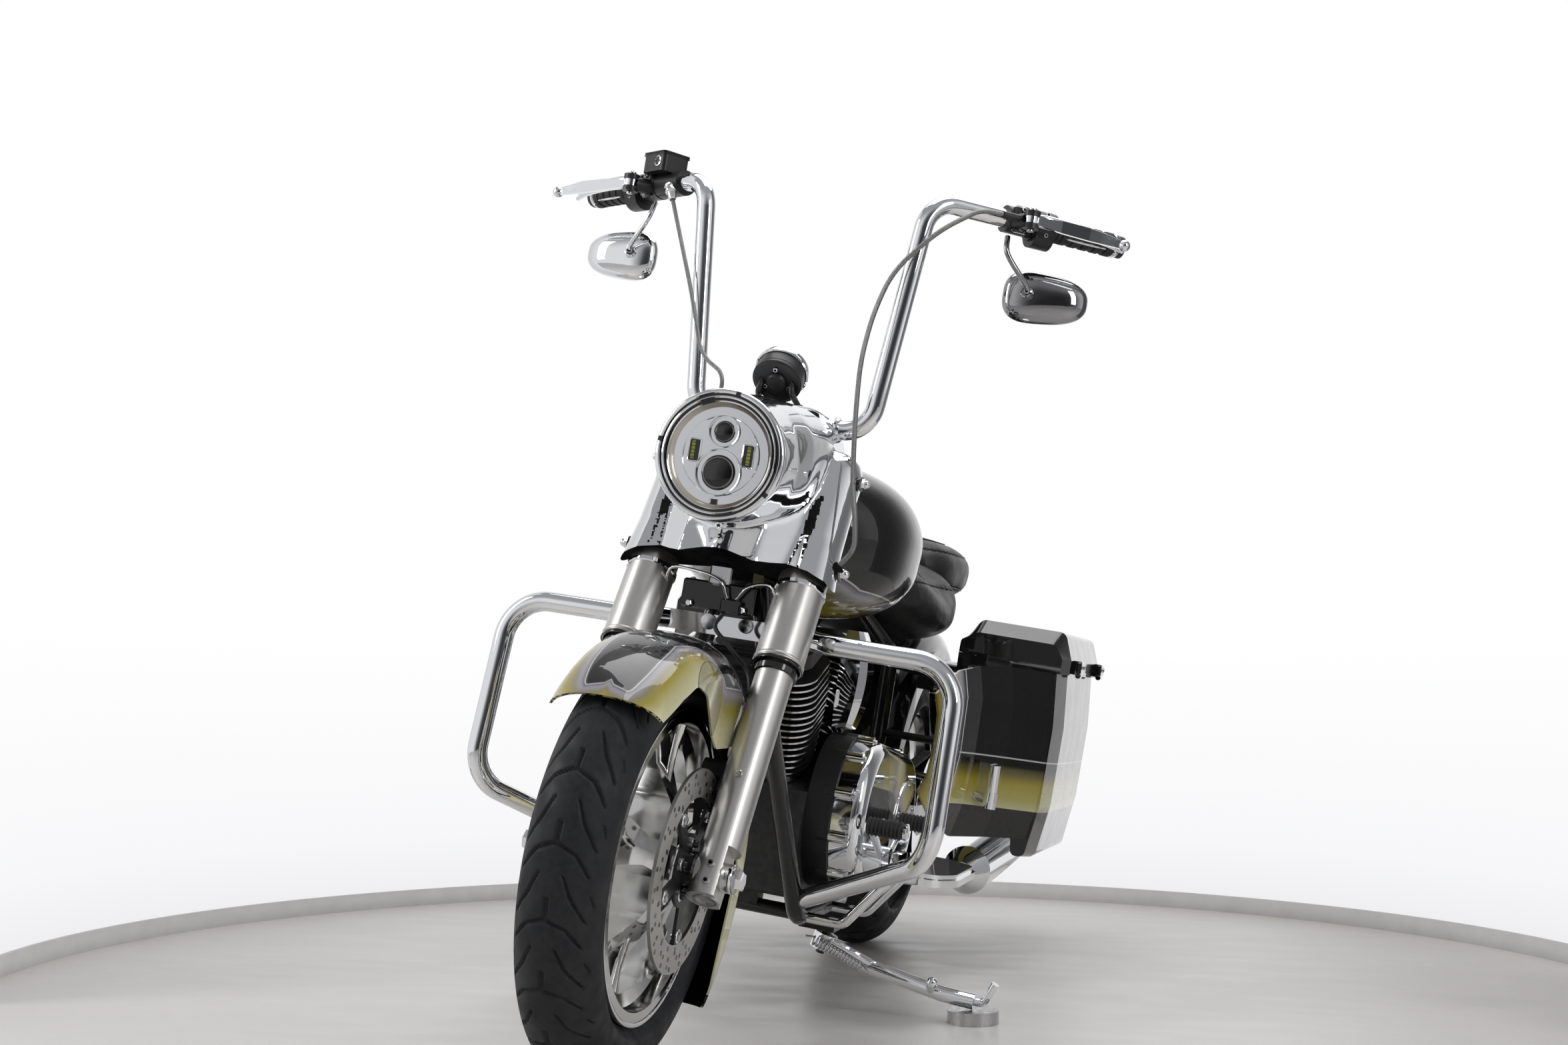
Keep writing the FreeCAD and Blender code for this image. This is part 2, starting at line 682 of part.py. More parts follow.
def hand_controls():
    """Switch housings and lever perches, and the brake's fluid box on the right."""
    bar = rod(bar_point(CONTROL_INNER + 80), bar_point(size("grip_length")), size("bar_radius"))
    start = size("grip_length") + 0.5
    housing = rod(bar_point(start + 44), bar_point(start), 27)
    lower = rod(bar_point(start + 40, 0, -14), bar_point(start + 4, 0, -14), 24)
    perch = rod(bar_point(CONTROL_INNER, 0, 0), bar_point(start + 34, 0, 0), 23)
    arm = rod(bar_point(CONTROL_INNER - 12, 12, -4), bar_point(CONTROL_INNER - 22, 52, -6), 13)
    ferrule = rod(bar_point(CONTROL_INNER - 20, 40, -4), bar_point(CONTROL_INNER + 24, 40, -4), 6)
    fork = rod(bar_point(CONTROL_INNER - 24, 52, -20), bar_point(CONTROL_INNER - 24, 52, 10), 14)
    slot = rod(bar_point(CONTROL_INNER - 24, 52, -11), bar_point(CONTROL_INNER - 24, 52, 1), 40)
    body = joined(housing, lower, perch, arm, fork)
    left = joined(body, ferrule).cut(bar)
    blade_room = slot.common(rod(bar_point(CONTROL_INNER - 24, 52, -21),
                                 bar_point(CONTROL_INNER - 24, 52, 11), 16))
    left = left.cut(blade_room)
    clamp = rod(bar_point(CONTROL_INNER + 72), bar_point(CONTROL_INNER - 4), 22)
    banjo = rod(mirror_point(banjo_place()), mirror_point(banjo_place() + BANJO_DIRECTION * 16), 6)
    corner = bar_point(CONTROL_INNER + 14, 10, 34)
    fluid = Part.makeBox(66, 54, 34, Vector(-33, -27, -17))
    fluid = fluid.makeFillet(8, [edge for edge in fluid.Edges
                                 if abs(edge.tangentAt(edge.FirstParameter).z) > 0.9])
    fluid.rotate(Vector(), UP, math.degrees(math.atan2(BAR_RUN.y, BAR_RUN.x)))
    fluid.translate(corner)
    lid = fluid.copy()
    lid.scale(1.06, corner)
    lid = lid.common(Part.makeBox(200, 200, 6, corner + Vector(-100, -100, 16)))
    right = joined(body, clamp, banjo, fluid, lid).cut(blade_room).cut(bar)
    publish("hand_controls", Part.makeCompound([left, mirrored(right)]))
    head = mirror_head()
    publish("mirrors", Part.makeCompound([head.cut(left), mirrored(head.cut(right))]))
    blade = lever()
    publish("levers", Part.makeCompound([blade.cut(left), mirrored(blade.cut(right))]))


def lever():
    """A flat blade that pivots in its perch and ends in a ball."""
    pivot = bar_point(CONTROL_INNER - 24, 52, -5)
    tip = Vector(510, 510, 1396)
    reach = tip - pivot
    across = Vector(reach.y, -reach.x, 0).normalize()
    hub = rod(pivot - UP * 5.5, pivot + UP * 5.5, 12)
    slices = []
    for along, ahead, half_height in ((0, 0, 5), (0.32, 8, 10), (0.62, 9, 10.5), (0.96, 0, 6.5)):
        middle = pivot + reach * along + across * ahead
        corners = [middle + UP * rise + across * side for side, rise in (
            (-3.5, -half_height), (3.5, -half_height), (3.5, half_height), (-3.5, half_height))]
        slices.append(Part.makePolygon(corners + [corners[0]]))
    blade = loft(slices, ruled=True)
    return joined(hub, blade, rod(pivot + reach * 0.94, tip, 4), Part.makeSphere(10, tip))


def mirror_outline(depth, grow):
    """A mirror's outline, tall at its inner end and low at its outer end."""
    outline = [(-70, 22), (-40, 48), (16, 40), (68, 14), (66, -22), (46, -44), (-42, -47), (-70, -22)]
    points = [Vector(x * grow, depth, z * grow) for x, z in outline]
    bends = [bend * grow for bend in (30, 24, 90, 14, 24, 24, 24, 30)]
    return Part.Wire(round_edges(points, bends, closed=True))


def mirror_head():
    """A mirror hung under its perch on a bent stem."""
    centre = Vector(size("mirror_spread"), 550, size("mirror_height"))
    head = loft([mirror_outline(-24, 0.6), mirror_outline(-16, 0.86), mirror_outline(2, 1.0),
                 mirror_outline(14, 1.0)], ruled=True)
    head.rotate(Vector(), UP, 12)
    head.translate(centre)
    root = bar_point(CONTROL_INNER - 8, 6, -21)
    clip = rod(root, bar_point(CONTROL_INNER - 8, 6, -36), 9)
    stem_end = centre + Vector(-26, -12, 2)
    stem = tube([bar_point(CONTROL_INNER - 8, 6, -30), bar_point(CONTROL_INNER - 8, 16, -62),
                 centre + Vector(-28, -46, 12), stem_end], 4.5, 14)
    return joined(head, clip, stem)


def nacelle_sections(inset):
    """Sections of the headlamp nacelle from the lamp's ring to its open back."""
    front = size("headlamp_front") + 14
    lamp = size("headlamp_radius") - 3 - inset
    height = size("headlamp_height")
    return [
        oval(front, lamp, height + lamp, height - lamp, 2.0),
        oval(front + 66, lamp + 5, height + lamp + 8, height - lamp, 2.1),
        oval(front + 120, lamp + 14, height + lamp + 15, height - lamp + 2, 2.4),
        oval(front + 190, lamp + 22, height + lamp + 18, height - lamp + 2, 2.8),
        oval(front + 300, lamp + 24, height + lamp + 12, height - lamp + 2, 3.0),
    ]


def nacelle_form(inset):
    """The lamp's barrel, a cheek round each fork tube with a bevelled top, and the saddle between them."""
    radius = size("cheek_radius") - inset
    foot_length = size("lower_clamp_start") - 30
    top_length = (size("headlamp_height") - size("tyre_radius") + 10) / FORK_COS
    pieces = [loft(nacelle_sections(inset))]
    for sign in (1, -1):
        foot = fork_point(sign * FORK_X, foot_length)
        waist = fork_point(sign * FORK_X, foot_length + 90)
        top = fork_point(sign * FORK_X, top_length)
        pieces.append(taper(foot, waist, radius + 9, radius))
        pieces.append(rod(waist, top, radius))
        pieces.append(taper(top, top + FORK_DIRECTION * (30 - inset), radius, radius - 22))
    saddle = [(FORK_X - 4, 30), (FORK_X - 4, inset - 38), (62, inset - 84), (-62, inset - 84),
              (4 - FORK_X, inset - 38), (4 - FORK_X, 30)]
    saddle = [fork_point(across, foot_length, behind) for across, behind in saddle]
    saddle = Part.Face(Part.makePolygon(saddle + [saddle[0]]))
    pieces.append(saddle.extrude(FORK_DIRECTION * (top_length - foot_length - 80)))
    return joined(*pieces)


def nacelle(yokes):
    """A chromed shell, open below along a wavy hem and open behind for the neck."""
    wall = size("nacelle_wall")
    lamp = size("headlamp_height")
    inside = nacelle_form(wall)
    shell = nacelle_form(0.0).cut(inside)
    low = [(182, 186), (166, 164), (140, 152), (104, 145), (60, 149), (0, 137)]
    hem = [(x, lamp - drop) for x, drop in low]
    hem = [(-260, hem[0][1])] + [(-x, z) for x, z in hem] + hem[-2::-1] + [(260, hem[0][1])]
    hem = front_prism(hem + [(260, lamp - 380), (-260, lamp - 380)], 150, 460,
                      [0, 10, 20, 24, 30, 40, 60, 40, 30, 24, 20, 10, 0, 0, 0])
    behind = [fork_point(0, 200, 30), fork_point(0, 1100, 30), Vector(0, 900, lamp + 300), Vector(0, 900, 500)]
    behind = side_prism([(point.y, point.z) for point in behind], -300, 300)
    shell = shell.cut(hem).cut(behind)
    shell = max(shell.Solids, key=lambda solid: solid.Volume)
    seats = [rod(fork_point(sign * (FORK_X + 30), 530, 4), fork_point(sign * (FORK_X + 70), 530, 4), 9)
             .common(nacelle_form(wall - 0.5)) for sign in (1, -1)]
    cover_room = both_sides(rod(fork_point(FORK_X, size("fork_cover_start")),
                                fork_point(FORK_X, size("lower_clamp_start")),
                                size("fork_cover_radius") + size("running_gap")))
    notches = tube(bar_route(), size("bar_radius") + size("running_gap"), 52)
    grommet = rod(HOSE_END - UP * 16, HOSE_END, 7).cut(inside)
    shell = shell.multiFuse([*seats, grommet]).cut(yokes).cut(cover_room).cut(notches)
    shell = max(shell.Solids, key=lambda solid: solid.Volume)
    publish("nacelle", shell)
    return shell


def headlamp():
    """Bezel ring and lamp unit with its two projector barrels."""
    centre = Vector(0, size("headlamp_front"), size("headlamp_height"))
    lens = size("lens_radius")
    facing = Rotation(ACROSS, -90)
    ring = bound("Cylinder", "bezel_outer", Radius="Sizes.headlamp_radius", Height="14")
    hole = bound("Cylinder", "bezel_hole", Radius="Sizes.lens_radius", Height="14")
    publish_tree(bound_cut("bezel", ring, hole), "headlamp_bezel", Placement(centre, facing))
    bowl = Part.makeCylinder(lens, 60, centre + REARWARD * 4, REARWARD)
    bowl = bowl.cut(Part.makeCone(lens - 3, 40, 34, centre + REARWARD * 4, REARWARD))
    for rise, radius in ((32, 22), (-26, 34)):
        barrel = Part.makeCylinder(radius, 34, centre + Vector(0, 8, rise), REARWARD)
        eye = Part.makeSphere(radius * 1.15, centre + Vector(0, 12 + radius * 0.72, rise))
        eye = eye.common(Part.makeCylinder(radius - 2, 40, centre + Vector(0, 0, rise), REARWARD))
        bowl = joined(bowl, barrel, eye)
    publish("headlamp_unit", bowl)


def gauge(yokes, shell):
    """A round instrument on a two-armed bracket over the bar's foot."""
    centre = Vector(0, 361, 1094)
    facing = Vector(0, 0.72, 0.69).normalize()
    back = centre - facing * size("gauge_depth") / 2
    case = Part.makeCylinder(size("gauge_radius"), size("gauge_depth"), back, facing)
    rim_ring = Part.makeCylinder(size("gauge_radius") + 3, 9, back + facing * (size("gauge_depth") - 9), facing)
    dish = Part.makeCylinder(size("gauge_radius") - 4, 4, back + facing * (size("gauge_depth") - 4), facing)
    arms = [
        tube([back + Vector(x, 4, 6), back + Vector(x * 1.2, -4, -18), Vector(x * 1.5, 400, 1040)], 5, 10)
        for x in (24, -24)
    ]
    publish("gauge", joined(case, rim_ring, *arms).cut(dish).cut(yokes).cut(shell))


def front_caliper():
    """A caliper behind the left leg, straddling the disc."""
    offset = size("disc_offset")
    body = side_prism([(84, 366), (150, 372), (168, 420), (150, 466), (92, 478), (64, 440)],
                      offset - 26, offset + 30, 14)
    slot = Part.makeCylinder(
        size("disc_radius") + size("moving_gap"), size("disc_thickness") + 2 * size("moving_gap"),
        FRONT_AXLE + ACROSS * (offset - size("disc_thickness") / 2 - size("moving_gap")), ACROSS)
    legs = rod(fork_point(FORK_X, -40), fork_point(FORK_X, 352), size("slider_radius"))
    lugs = Part.makeCompound([
        rod(fork_point(FORK_X - 14, along, 20), fork_point(FORK_X - 14, along, 52), 9)
        for along in (84, 158)
    ])
    publish("front_caliper", body.cut(slot).cut(legs).cut(lugs).cut(front_fender_shell()))


def fender_ring(centre, half_width, radius, wall, depth, start, sweep):
    """A rolled fender: a domed crown with deep sides, turned about an axle."""
    def profile(inset):
        half = half_width - inset
        top = radius - inset
        return [(-half, depth), (-half, top - 52), (-half * 0.86, top - 22), (-half * 0.5, top - 5),
                (0, top), (half * 0.5, top - 5), (half * 0.86, top - 22), (half, top - 52),
                (half, depth)]
    outer = [centre + Vector(x, 0, r) for x, r in profile(0.0)]
    inner = [centre + Vector(x, 0, r) for x, r in profile(wall)]
    bends = [0, 30, 60, 160, 200, 160, 60, 30, 0]
    edges = round_edges(outer, bends)
    edges += round_edges(inner, [bend - wall if bend else 0 for bend in bends])
    edges.append(Part.LineSegment(outer[0], inner[0]).toShape())
    edges.append(Part.LineSegment(outer[-1], inner[-1]).toShape())
    face = Part.Face(Part.Wire(Part.__sortEdges__(edges)))
    face.rotate(centre, ACROSS, start)
    return face.revolve(centre, ACROSS, sweep)


def front_fender_shell():
    """A short fender with pointed front corners, an arched side and a long tail."""
    shell = fender_ring(FRONT_AXLE, size("front_fender_half_width"), size("front_fender_radius"),
                        size("fender_wall"), 178, 44, -184)
    keep = side_prism([
        (-214, 534), (-150, 568), (-100, 588), (-50, 574), (0, 516), (30, 496), (118, 496),
        (190, 420), (246, 300), (190, 92), (420, 60), (420, 760), (-330, 760), (-330, 560),
    ], -200, 200, [8, 20, 40, 30, 30, 14, 40, 60, 60, 10, 0, 0, 0, 40])
    shell = shell.common(keep)
    return max(shell.Solids, key=lambda solid: solid.Volume)


def cable(route, radius, name):
    """A cable along a hand-laid route, with the largest arcs its runs allow."""
    bends = [0.0]
    for before, here, after in zip(route, route[1:], route[2:]):
        turn = math.pi - (before - here).getAngle(after - here)
        shorter = min((before - here).Length, (after - here).Length)
        bends.append(0.45 * shorter / math.tan(turn / 2))
    bends.append(0.0)
    shape = tube(route, radius, bends)
    print(name, "arc radii", [round(bend) for bend in bends[1:-1]])
    publish(name, shape)


# Frame


def neck():
    """The steering head and its gusset down to the twin downtubes."""
    head = rod(steering_point(822), steering_point(932), size("head_tube_radius"))
    bore = rod(steering_point(700), steering_point(1000), size("stem_radius") + size("running_gap"))
    gusset = side_prism([(232, 836), (262, 906), (330, 900), (352, 800), (372, 706), (318, 690),
                         (300, 752), (292, 800)], -26, 26, [0, 0, 20, 30, 12, 12, 20, 20])
    return joined(head, gusset).cut(bore)


PIVOT_RADIUS = 20.0
TANK_TUNNEL_GAP = 6.0
SHOCK_TOP = Vector(172, 1330, 612)
SHOCK_FOOT = Vector(172, 1560, 352)


def frame():
    """Twin cradle, backbone, seat rails and the brackets that carry the bodywork."""
    radius = size("frame_tube_radius")
    half = size("cradle_half_width")
    low = size("cradle_height")
    upright = 78.0
    cradle = tube([
        Vector(30, 346, 740), Vector(84, 330, 520), Vector(half, 590, low), Vector(half, 900, low),
        Vector(upright, 1110, low), Vector(upright, 1206, 470), Vector(96, 1120, 664),
        Vector(30, 1040, 752),
    ], radius, [0, 60, 60, 90, 60, 80, 60, 0])
    pivot = Vector(0, size("pivot_rearward"), size("pivot_height"))
    pivot_boss = rod(pivot + ACROSS * (upright - radius), pivot + ACROSS * (upright + radius), 36)
    pivot_hole = rod(pivot - ACROSS * 140, pivot + ACROSS * 140, PIVOT_RADIUS)
    backbone = tube([Vector(0, 300, 850), Vector(0, 620, 862), Vector(0, 1060, 742)],
                    size("backbone_radius"), 200)
    seat_rail = tube([Vector(96, 1116, 655), Vector(122, 1260, 648), Vector(122, 1760, 648)], 11, 120)
    bag_stays = [rod(Vector(122, y, 648), Vector(size("bag_inner") - 0.2, y, 648), 8)
                 for y in (1360, 1740)]
    crossings = [
        rod(Vector(-half, 640, low), Vector(half, 640, low), 13),
        rod(Vector(-upright, 1100, low), Vector(upright, 1100, low), 13),
        rod(Vector(-96, 1126, 655), Vector(96, 1126, 655), 12),
    ]
    fender_stays = [rod(Vector(size("rear_fender_half_width"), y, 648), Vector(122, y, 648), 8)
                    for y in (1500, 1700)]
    shock_mount = block(120, SHOCK_TOP.x - 16, SHOCK_TOP.y - 14, SHOCK_TOP.y + 14,
                        SHOCK_TOP.z - 16, 648)
    tunnel = size("backbone_radius") + TANK_TUNNEL_GAP
    tank_mounts = [rod(Vector(-tunnel, y, z), Vector(tunnel, y, z), 10) for y, z in ((560, 860), (900, 786))]
    left = joined(cradle, seat_rail, pivot_boss, shock_mount, *bag_stays, *fender_stays, *cover_stays())
    body = joined(neck(), backbone, left, mirrored(left), *crossings, *tank_mounts)
    stand_bracket = block(half - 6, half + 58, 640, 690, low - 22, low - 2)
    stand_pin = rod(STAND_PIVOT - STAND_AXIS * 22, STAND_PIVOT + STAND_AXIS * 30, STAND_PIN_RADIUS)
    return joined(body, stand_bracket, stand_pin).cut(pivot_hole)


def swingarm():
    """Two arms on a cross tube, with the rear axle and its nuts."""
    pivot = Vector(0, size("pivot_rearward"), size("pivot_height"))
    arm = side_prism([(pivot.y - 24, pivot.z - 24), (pivot.y - 24, pivot.z + 26),
                      (REAR_AXLE.y + 34, REAR_AXLE.z + 24), (REAR_AXLE.y + 34, REAR_AXLE.z - 24)],
                     134, 156, [20, 20, 16, 16])
    cross = rod(pivot - ACROSS * 140, pivot + ACROSS * 140, PIVOT_RADIUS)
    axle = rod(REAR_AXLE - ACROSS * 176, REAR_AXLE + ACROSS * 176, size("axle_radius"))
    nuts = [rod(REAR_AXLE + ACROSS * sign * 156, REAR_AXLE + ACROSS * sign * 170, 20) for sign in (1, -1)]
    return joined(arm, mirrored(arm), cross, axle, *nuts)


def rear_shocks():
    """Covered dampers between the frame and the arms."""
    run = SHOCK_FOOT - SHOCK_TOP
    step = run / run.Length
    can = rod(SHOCK_TOP + step * 26, SHOCK_TOP + step * 190, 29)
    lower = rod(SHOCK_TOP + step * 180, SHOCK_FOOT - step * 22, 20)
    eyes = [rod(Vector(156, point.y, point.z), Vector(190, point.y, point.z), 16)
            for point in (SHOCK_TOP, SHOCK_FOOT)]
    neck_rod = rod(SHOCK_TOP, SHOCK_TOP + step * 30, 14)
    foot_rod = rod(SHOCK_FOOT - step * 40, SHOCK_FOOT, 12)
    publish("rear_shocks", both_sides(joined(can, lower, neck_rod, foot_rod, *eyes)))


# Engine

SPROCKET_Y = CRANK.y + 434


def crankcase(chassis):
    """Engine and gearbox cases as one block with the two cylinder decks."""
    y, z = CRANK.y, CRANK.z
    sine, cosine = turned(size("cylinder_angle"))
    deck = size("cylinder_start")
    front = (y - deck * sine, z + deck * cosine)
    rear = (y + deck * sine, z + deck * cosine)
    reach = 84
    outline = [
        (y - 106, z - 100), (y - 146, z), (front[0] - reach * cosine, front[1] - reach * sine),
        (y, z + (deck - deck * sine * sine) / cosine), (rear[0] + reach * cosine, rear[1] - reach * sine),
        (y + 178, z + 116), (y + 330, z + 110), (y + 372, z + 60), (y + 372, z - 60), (y + 330, z - 106),
        (y - 80, z - 112),
    ]
    case = side_prism(outline, -size("crankcase_right"), size("crankcase_left"),
                      [30, 40, 0, 0, 0, 20, 30, 20, 30, 20, 30])
    tail = side_prism([(y + 300, z - 66), (SPROCKET_Y + 26, z - 66), (SPROCKET_Y + 26, z + 66),
                       (y + 300, z + 66)], -56, 56, [0, 30, 30, 0])
    front_foot = block(-30, 30, 622, 658, 196, z - 104)
    ears = block(-68, 68, SPROCKET_Y - 4, SPROCKET_Y + 26, z - 46, z - 24)
    publish("crankcase", joined(case, tail, front_foot, ears).cut(chassis))


def rounded_plate(half_x, half_y, corner, height, thickness):
    """A rounded rectangle about its own axis, used for fins and heads."""
    points = [Vector(-half_x, -half_y, height), Vector(half_x, -half_y, height),
              Vector(half_x, half_y, height), Vector(-half_x, half_y, height)]
    face = Part.Face(Part.Wire(round_edges(points, corner, closed=True)))
    return face.extrude(UP * thickness)


def cylinder(name, sign):
    """A finned barrel and head with its rocker cover, standing on the crankcase deck."""
    start = size("cylinder_start")
    barrel = size("barrel_length")
    head = size("head_length")
    half_x = size("fin_half_width")
    half_y = size("fin_half_depth")
    pieces = [
        Part.makeCylinder(size("core_radius"), barrel + head, Vector(0, 0, start)),
        rounded_plate(70, 66, 30, start, 10),
    ]
    count = int((barrel + head - 14) // size("fin_pitch"))
    for index in range(count):
        rise = start + 14 + index * size("fin_pitch")
        grow = 0.84 + 0.16 * min(1.0, index / (count * 0.6))
        pieces.append(rounded_plate(half_x * grow, half_y * grow, 44, rise, size("fin_thickness")))
    top = start + barrel + head
    pieces.append(rounded_plate(half_x * 0.9, half_y * 0.84, 34, top, size("rocker_length") - 12))
    pieces.append(rounded_plate(half_x * 0.76, half_y * 0.7, 30, top + size("rocker_length") - 12, 12))
    body = joined(*pieces)
    body.rotate(Vector(), ACROSS, sign * size("cylinder_angle"))
    body.translate(CRANK)
    return body


def cylinders(chassis):
    front = cylinder("cylinder_front", 1)
    rear = cylinder("cylinder_rear", -1)
    divide = block(-200, 200, CRANK.y - 0.2, CRANK.y + 400, 0, 900)
    ahead = block(-200, 200, CRANK.y - 400, CRANK.y + 0.2, 0, 900)
    front = front.cut(divide)
    rear = rear.cut(ahead)
    publish("cylinder_front", front)
    publish("cylinder_rear", rear)
    publish("air_cleaner", air_cleaner().cut(front).cut(rear))
    publish("horn_cover", horn_cover().cut(front).cut(rear))
    exhaust(front, rear, chassis)


def bean_outline(front_radius, rear_radius, front, rear):
    """Two circles and their outer tangents, as a closed wire of arcs and lines in the x = 0 plane."""
    gap = math.hypot(rear[0] - front[0], rear[1] - front[1])
    slope = math.atan2(rear[1] - front[1], rear[0] - front[0])
    lean = math.asin((rear_radius - front_radius) / gap)
    up = slope + math.pi / 2 + lean
    down = slope - math.pi / 2 - lean

    def rim_at(centre, radius, turn):
        return Vector(0, centre[0] + radius * math.cos(turn), centre[1] + radius * math.sin(turn))
    front_top, front_low = rim_at(front, front_radius, up), rim_at(front, front_radius, down)
    rear_top, rear_low = rim_at(rear, rear_radius, up), rim_at(rear, rear_radius, down)
    return Part.Wire([
        Part.LineSegment(front_top, rear_top).toShape(),
        Part.Arc(rear_top, rim_at(rear, rear_radius, slope), rear_low).toShape(),
        Part.LineSegment(rear_low, front_low).toShape(),
        Part.Arc(front_low, rim_at(front, front_radius, slope + math.pi), front_top).toShape(),
    ])


PRIMARY_FRONT = (CRANK.y + 12, CRANK.z + 44)
PRIMARY_REAR = (CRANK.y + 236, CRANK.z + 20)


def primary_cover():
    """The left case: a black inner half and a bright outer cover with bolt bosses."""
    inner = Part.Face(bean_outline(size("primary_front_radius"), size("primary_rear_radius"),
                                   PRIMARY_FRONT, PRIMARY_REAR))
    start = size("crankcase_left")
    end = size("primary_outer")
    split = start + 46
    case = inner.extrude(ACROSS * (split - start))
    case.translate(ACROSS * start)
    outer = Part.Face(bean_outline(size("primary_front_radius") - 6, size("primary_rear_radius") - 6,
                                   PRIMARY_FRONT, PRIMARY_REAR)).extrude(ACROSS * (end - split))
    outer.translate(ACROSS * split)
    face_edges = [edge for edge in outer.Edges if edge.BoundBox.XMin > end - 1]
    outer = outer.makeFillet(22, face_edges)
    bosses = []
    for centre, radius, first, last in (
        (PRIMARY_FRONT, size("primary_front_radius"), 95, 260),
        (PRIMARY_REAR, size("primary_rear_radius"), -80, 80),
    ):
        for index in range(6):
            turn = math.radians(first + (last - first) * index / 5)
            spot = Vector(split - 20, centre[0] + (radius - 8) * math.cos(turn),
                          centre[1] + (radius - 8) * math.sin(turn))
            bosses.append(Part.makeCylinder(11, 50, spot, ACROSS))
    derby = Part.makeCylinder(84, 8, Vector(end - 4, PRIMARY_REAR[0], PRIMARY_REAR[1]), ACROSS)
    derby = derby.makeFillet(3, [edge for edge in derby.Edges if edge.BoundBox.XMin > end + 3])
    publish("primary_cover", joined(case, outer, derby, *bosses))


def cam_cover():
    """The right-hand timing cover with its round point cover and four pushrod tubes."""
    y, z = CRANK.y, CRANK.z
    side = -size("crankcase_right")
    plate = side_prism([(y - 96, z - 60), (y - 90, z + 52), (y - 40, z + 96), (y + 40, z + 96),
                        (y + 90, z + 52), (y + 110, z - 60), (y, z - 96)], side - 34, side, 26)
    disc = Part.makeCylinder(44, 10, Vector(side - 44, y - 30, z + 6), ACROSS)
    sine, cosine = turned(size("cylinder_angle"))
    tubes = []
    for sign in (1, -1):
        for offset in (14, 44):
            foot = Vector(side - 18, y - sign * (offset + 6), z + 70)
            along = size("cylinder_start") + size("barrel_length") + 10
            top = Vector(side - 22, y - sign * (along * sine + offset - 14), z + along * cosine)
            tubes.append(rod(foot, top, 8))
    publish("cam_cover", joined(plate, disc, *tubes))


def air_cleaner():
    """A round filter housing on the right, on its inlet neck between the cylinders."""
    centre = Vector(0, CRANK.y, CRANK.z + 232)
    start = -124.0
    can = Part.makeCylinder(92, 62, centre + ACROSS * (start - 62), ACROSS)
    can = can.makeFillet(16, [edge for edge in can.Edges if edge.BoundBox.XMax < start - 60])
    inlet = Part.makeCylinder(24, -start - 20, centre + ACROSS * start, ACROSS)
    return joined(can, inlet)


def horn_cover():
    """The waterfall-shaped horn cover on the left, on its bracket between the cylinders."""
    y = CRANK.y + 40
    sections = []
    for rise, width, depth in ((0, 44, 30), (60, 54, 44), (120, 52, 44), (176, 34, 26)):
        points = [Vector(100, y - width, 520 + rise), Vector(100 + depth * 0.8, y - width, 520 + rise),
                  Vector(100 + depth, y - width * 0.5, 520 + rise), Vector(100 + depth, y + width * 0.5, 520 + rise),
                  Vector(100 + depth * 0.8, y + width, 520 + rise), Vector(100, y + width, 520 + rise)]
        sections.append(Part.makePolygon(points + [points[0]]))
    cover = loft(sections)
    bracket = block(50, 104, CRANK.y - 28, CRANK.y + 28, 556, 586)
    return joined(cover, bracket)


MUFFLER_START = Vector(300, 1118, 253)
MUFFLER_END = Vector(308, 1950, 292)


def exhaust(front_cylinder, rear_cylinder, chassis):
    """Header pipes on the right, the crossover behind the gearbox and two silencers."""
    radius = size("pipe_radius")
    run = MUFFLER_END - MUFFLER_START
    step = run / run.Length
    right_foot = mirror_point(MUFFLER_START)
    front_pipe = tube([Vector(-70, 512, 566), Vector(-136, 470, 500), Vector(-156, 560, 280),
                       Vector(-172, 700, 236), Vector(-176, 1000, 234), right_foot],
                      radius, [0, 30, 60, 90, 50, 0])
    rear_pipe = tube([Vector(-70, 868, 560), Vector(-150, 920, 500), Vector(-172, 940, 300),
                      Vector(-172, 900, 236)], radius, [0, 30, 30, 0])
    crossover = tube([Vector(-174, 980, 234), Vector(-120, 1075, 236), Vector(150, 1075, 236),
                      Vector(236, 1086, 244), MUFFLER_START], radius, [0, 50, 50, 50, 0])
    outer = size("muffler_radius")
    body = joined(
        taper(MUFFLER_START, MUFFLER_START + step * 70, radius + 3, outer),
        rod(MUFFLER_START + step * 70, MUFFLER_END - step * 40, outer),
        taper(MUFFLER_END - step * 40, MUFFLER_END, outer, outer - 8),
        rod(Vector(78, 1134, 262), Vector(272, 1180, 262), 9),
    )
    body = body.cut(rod(MUFFLER_END - step * 120, MUFFLER_END + step, outer - 14))
    body = both_sides(body).cut(chassis)
    publish("mufflers", body)
    pipes = joined(front_pipe, rear_pipe, crossover)
    publish("exhaust_pipes", pipes.cut(body).cut(front_cylinder).cut(rear_cylinder))


# Bodywork


def tank_body():
    half = size("tank_half_width")
    top = size("tank_top")
    low = size("tank_bottom")
    return loft([
        oval(446, half * 0.34, top - 62, low + 70, 2.2),
        oval(468, half * 0.60, top - 34, low + 38, 2.3),
        oval(530, half * 0.88, top - 10, low + 8, 2.4),
        oval(620, half, top, low, 2.5),
        oval(740, half * 0.97, top - 12, low + 4, 2.5),
        oval(860, half * 0.76, top - 46, low + 22, 2.4),
        oval(950, half * 0.46, top - 90, low + 48, 2.2),
    ])


def fuel_tank():
    """Two joined halves with a tunnel over the backbone."""
    tunnel_half = size("backbone_radius") + TANK_TUNNEL_GAP
    tunnel = side_prism([(400, 600), (400, 886), (620, 896), (1000, 800), (1000, 600)],
                        -tunnel_half, tunnel_half)
    console = console_body()
    body = tank_body().cut(tunnel)
    return publish("fuel_tank", body.cut(console))


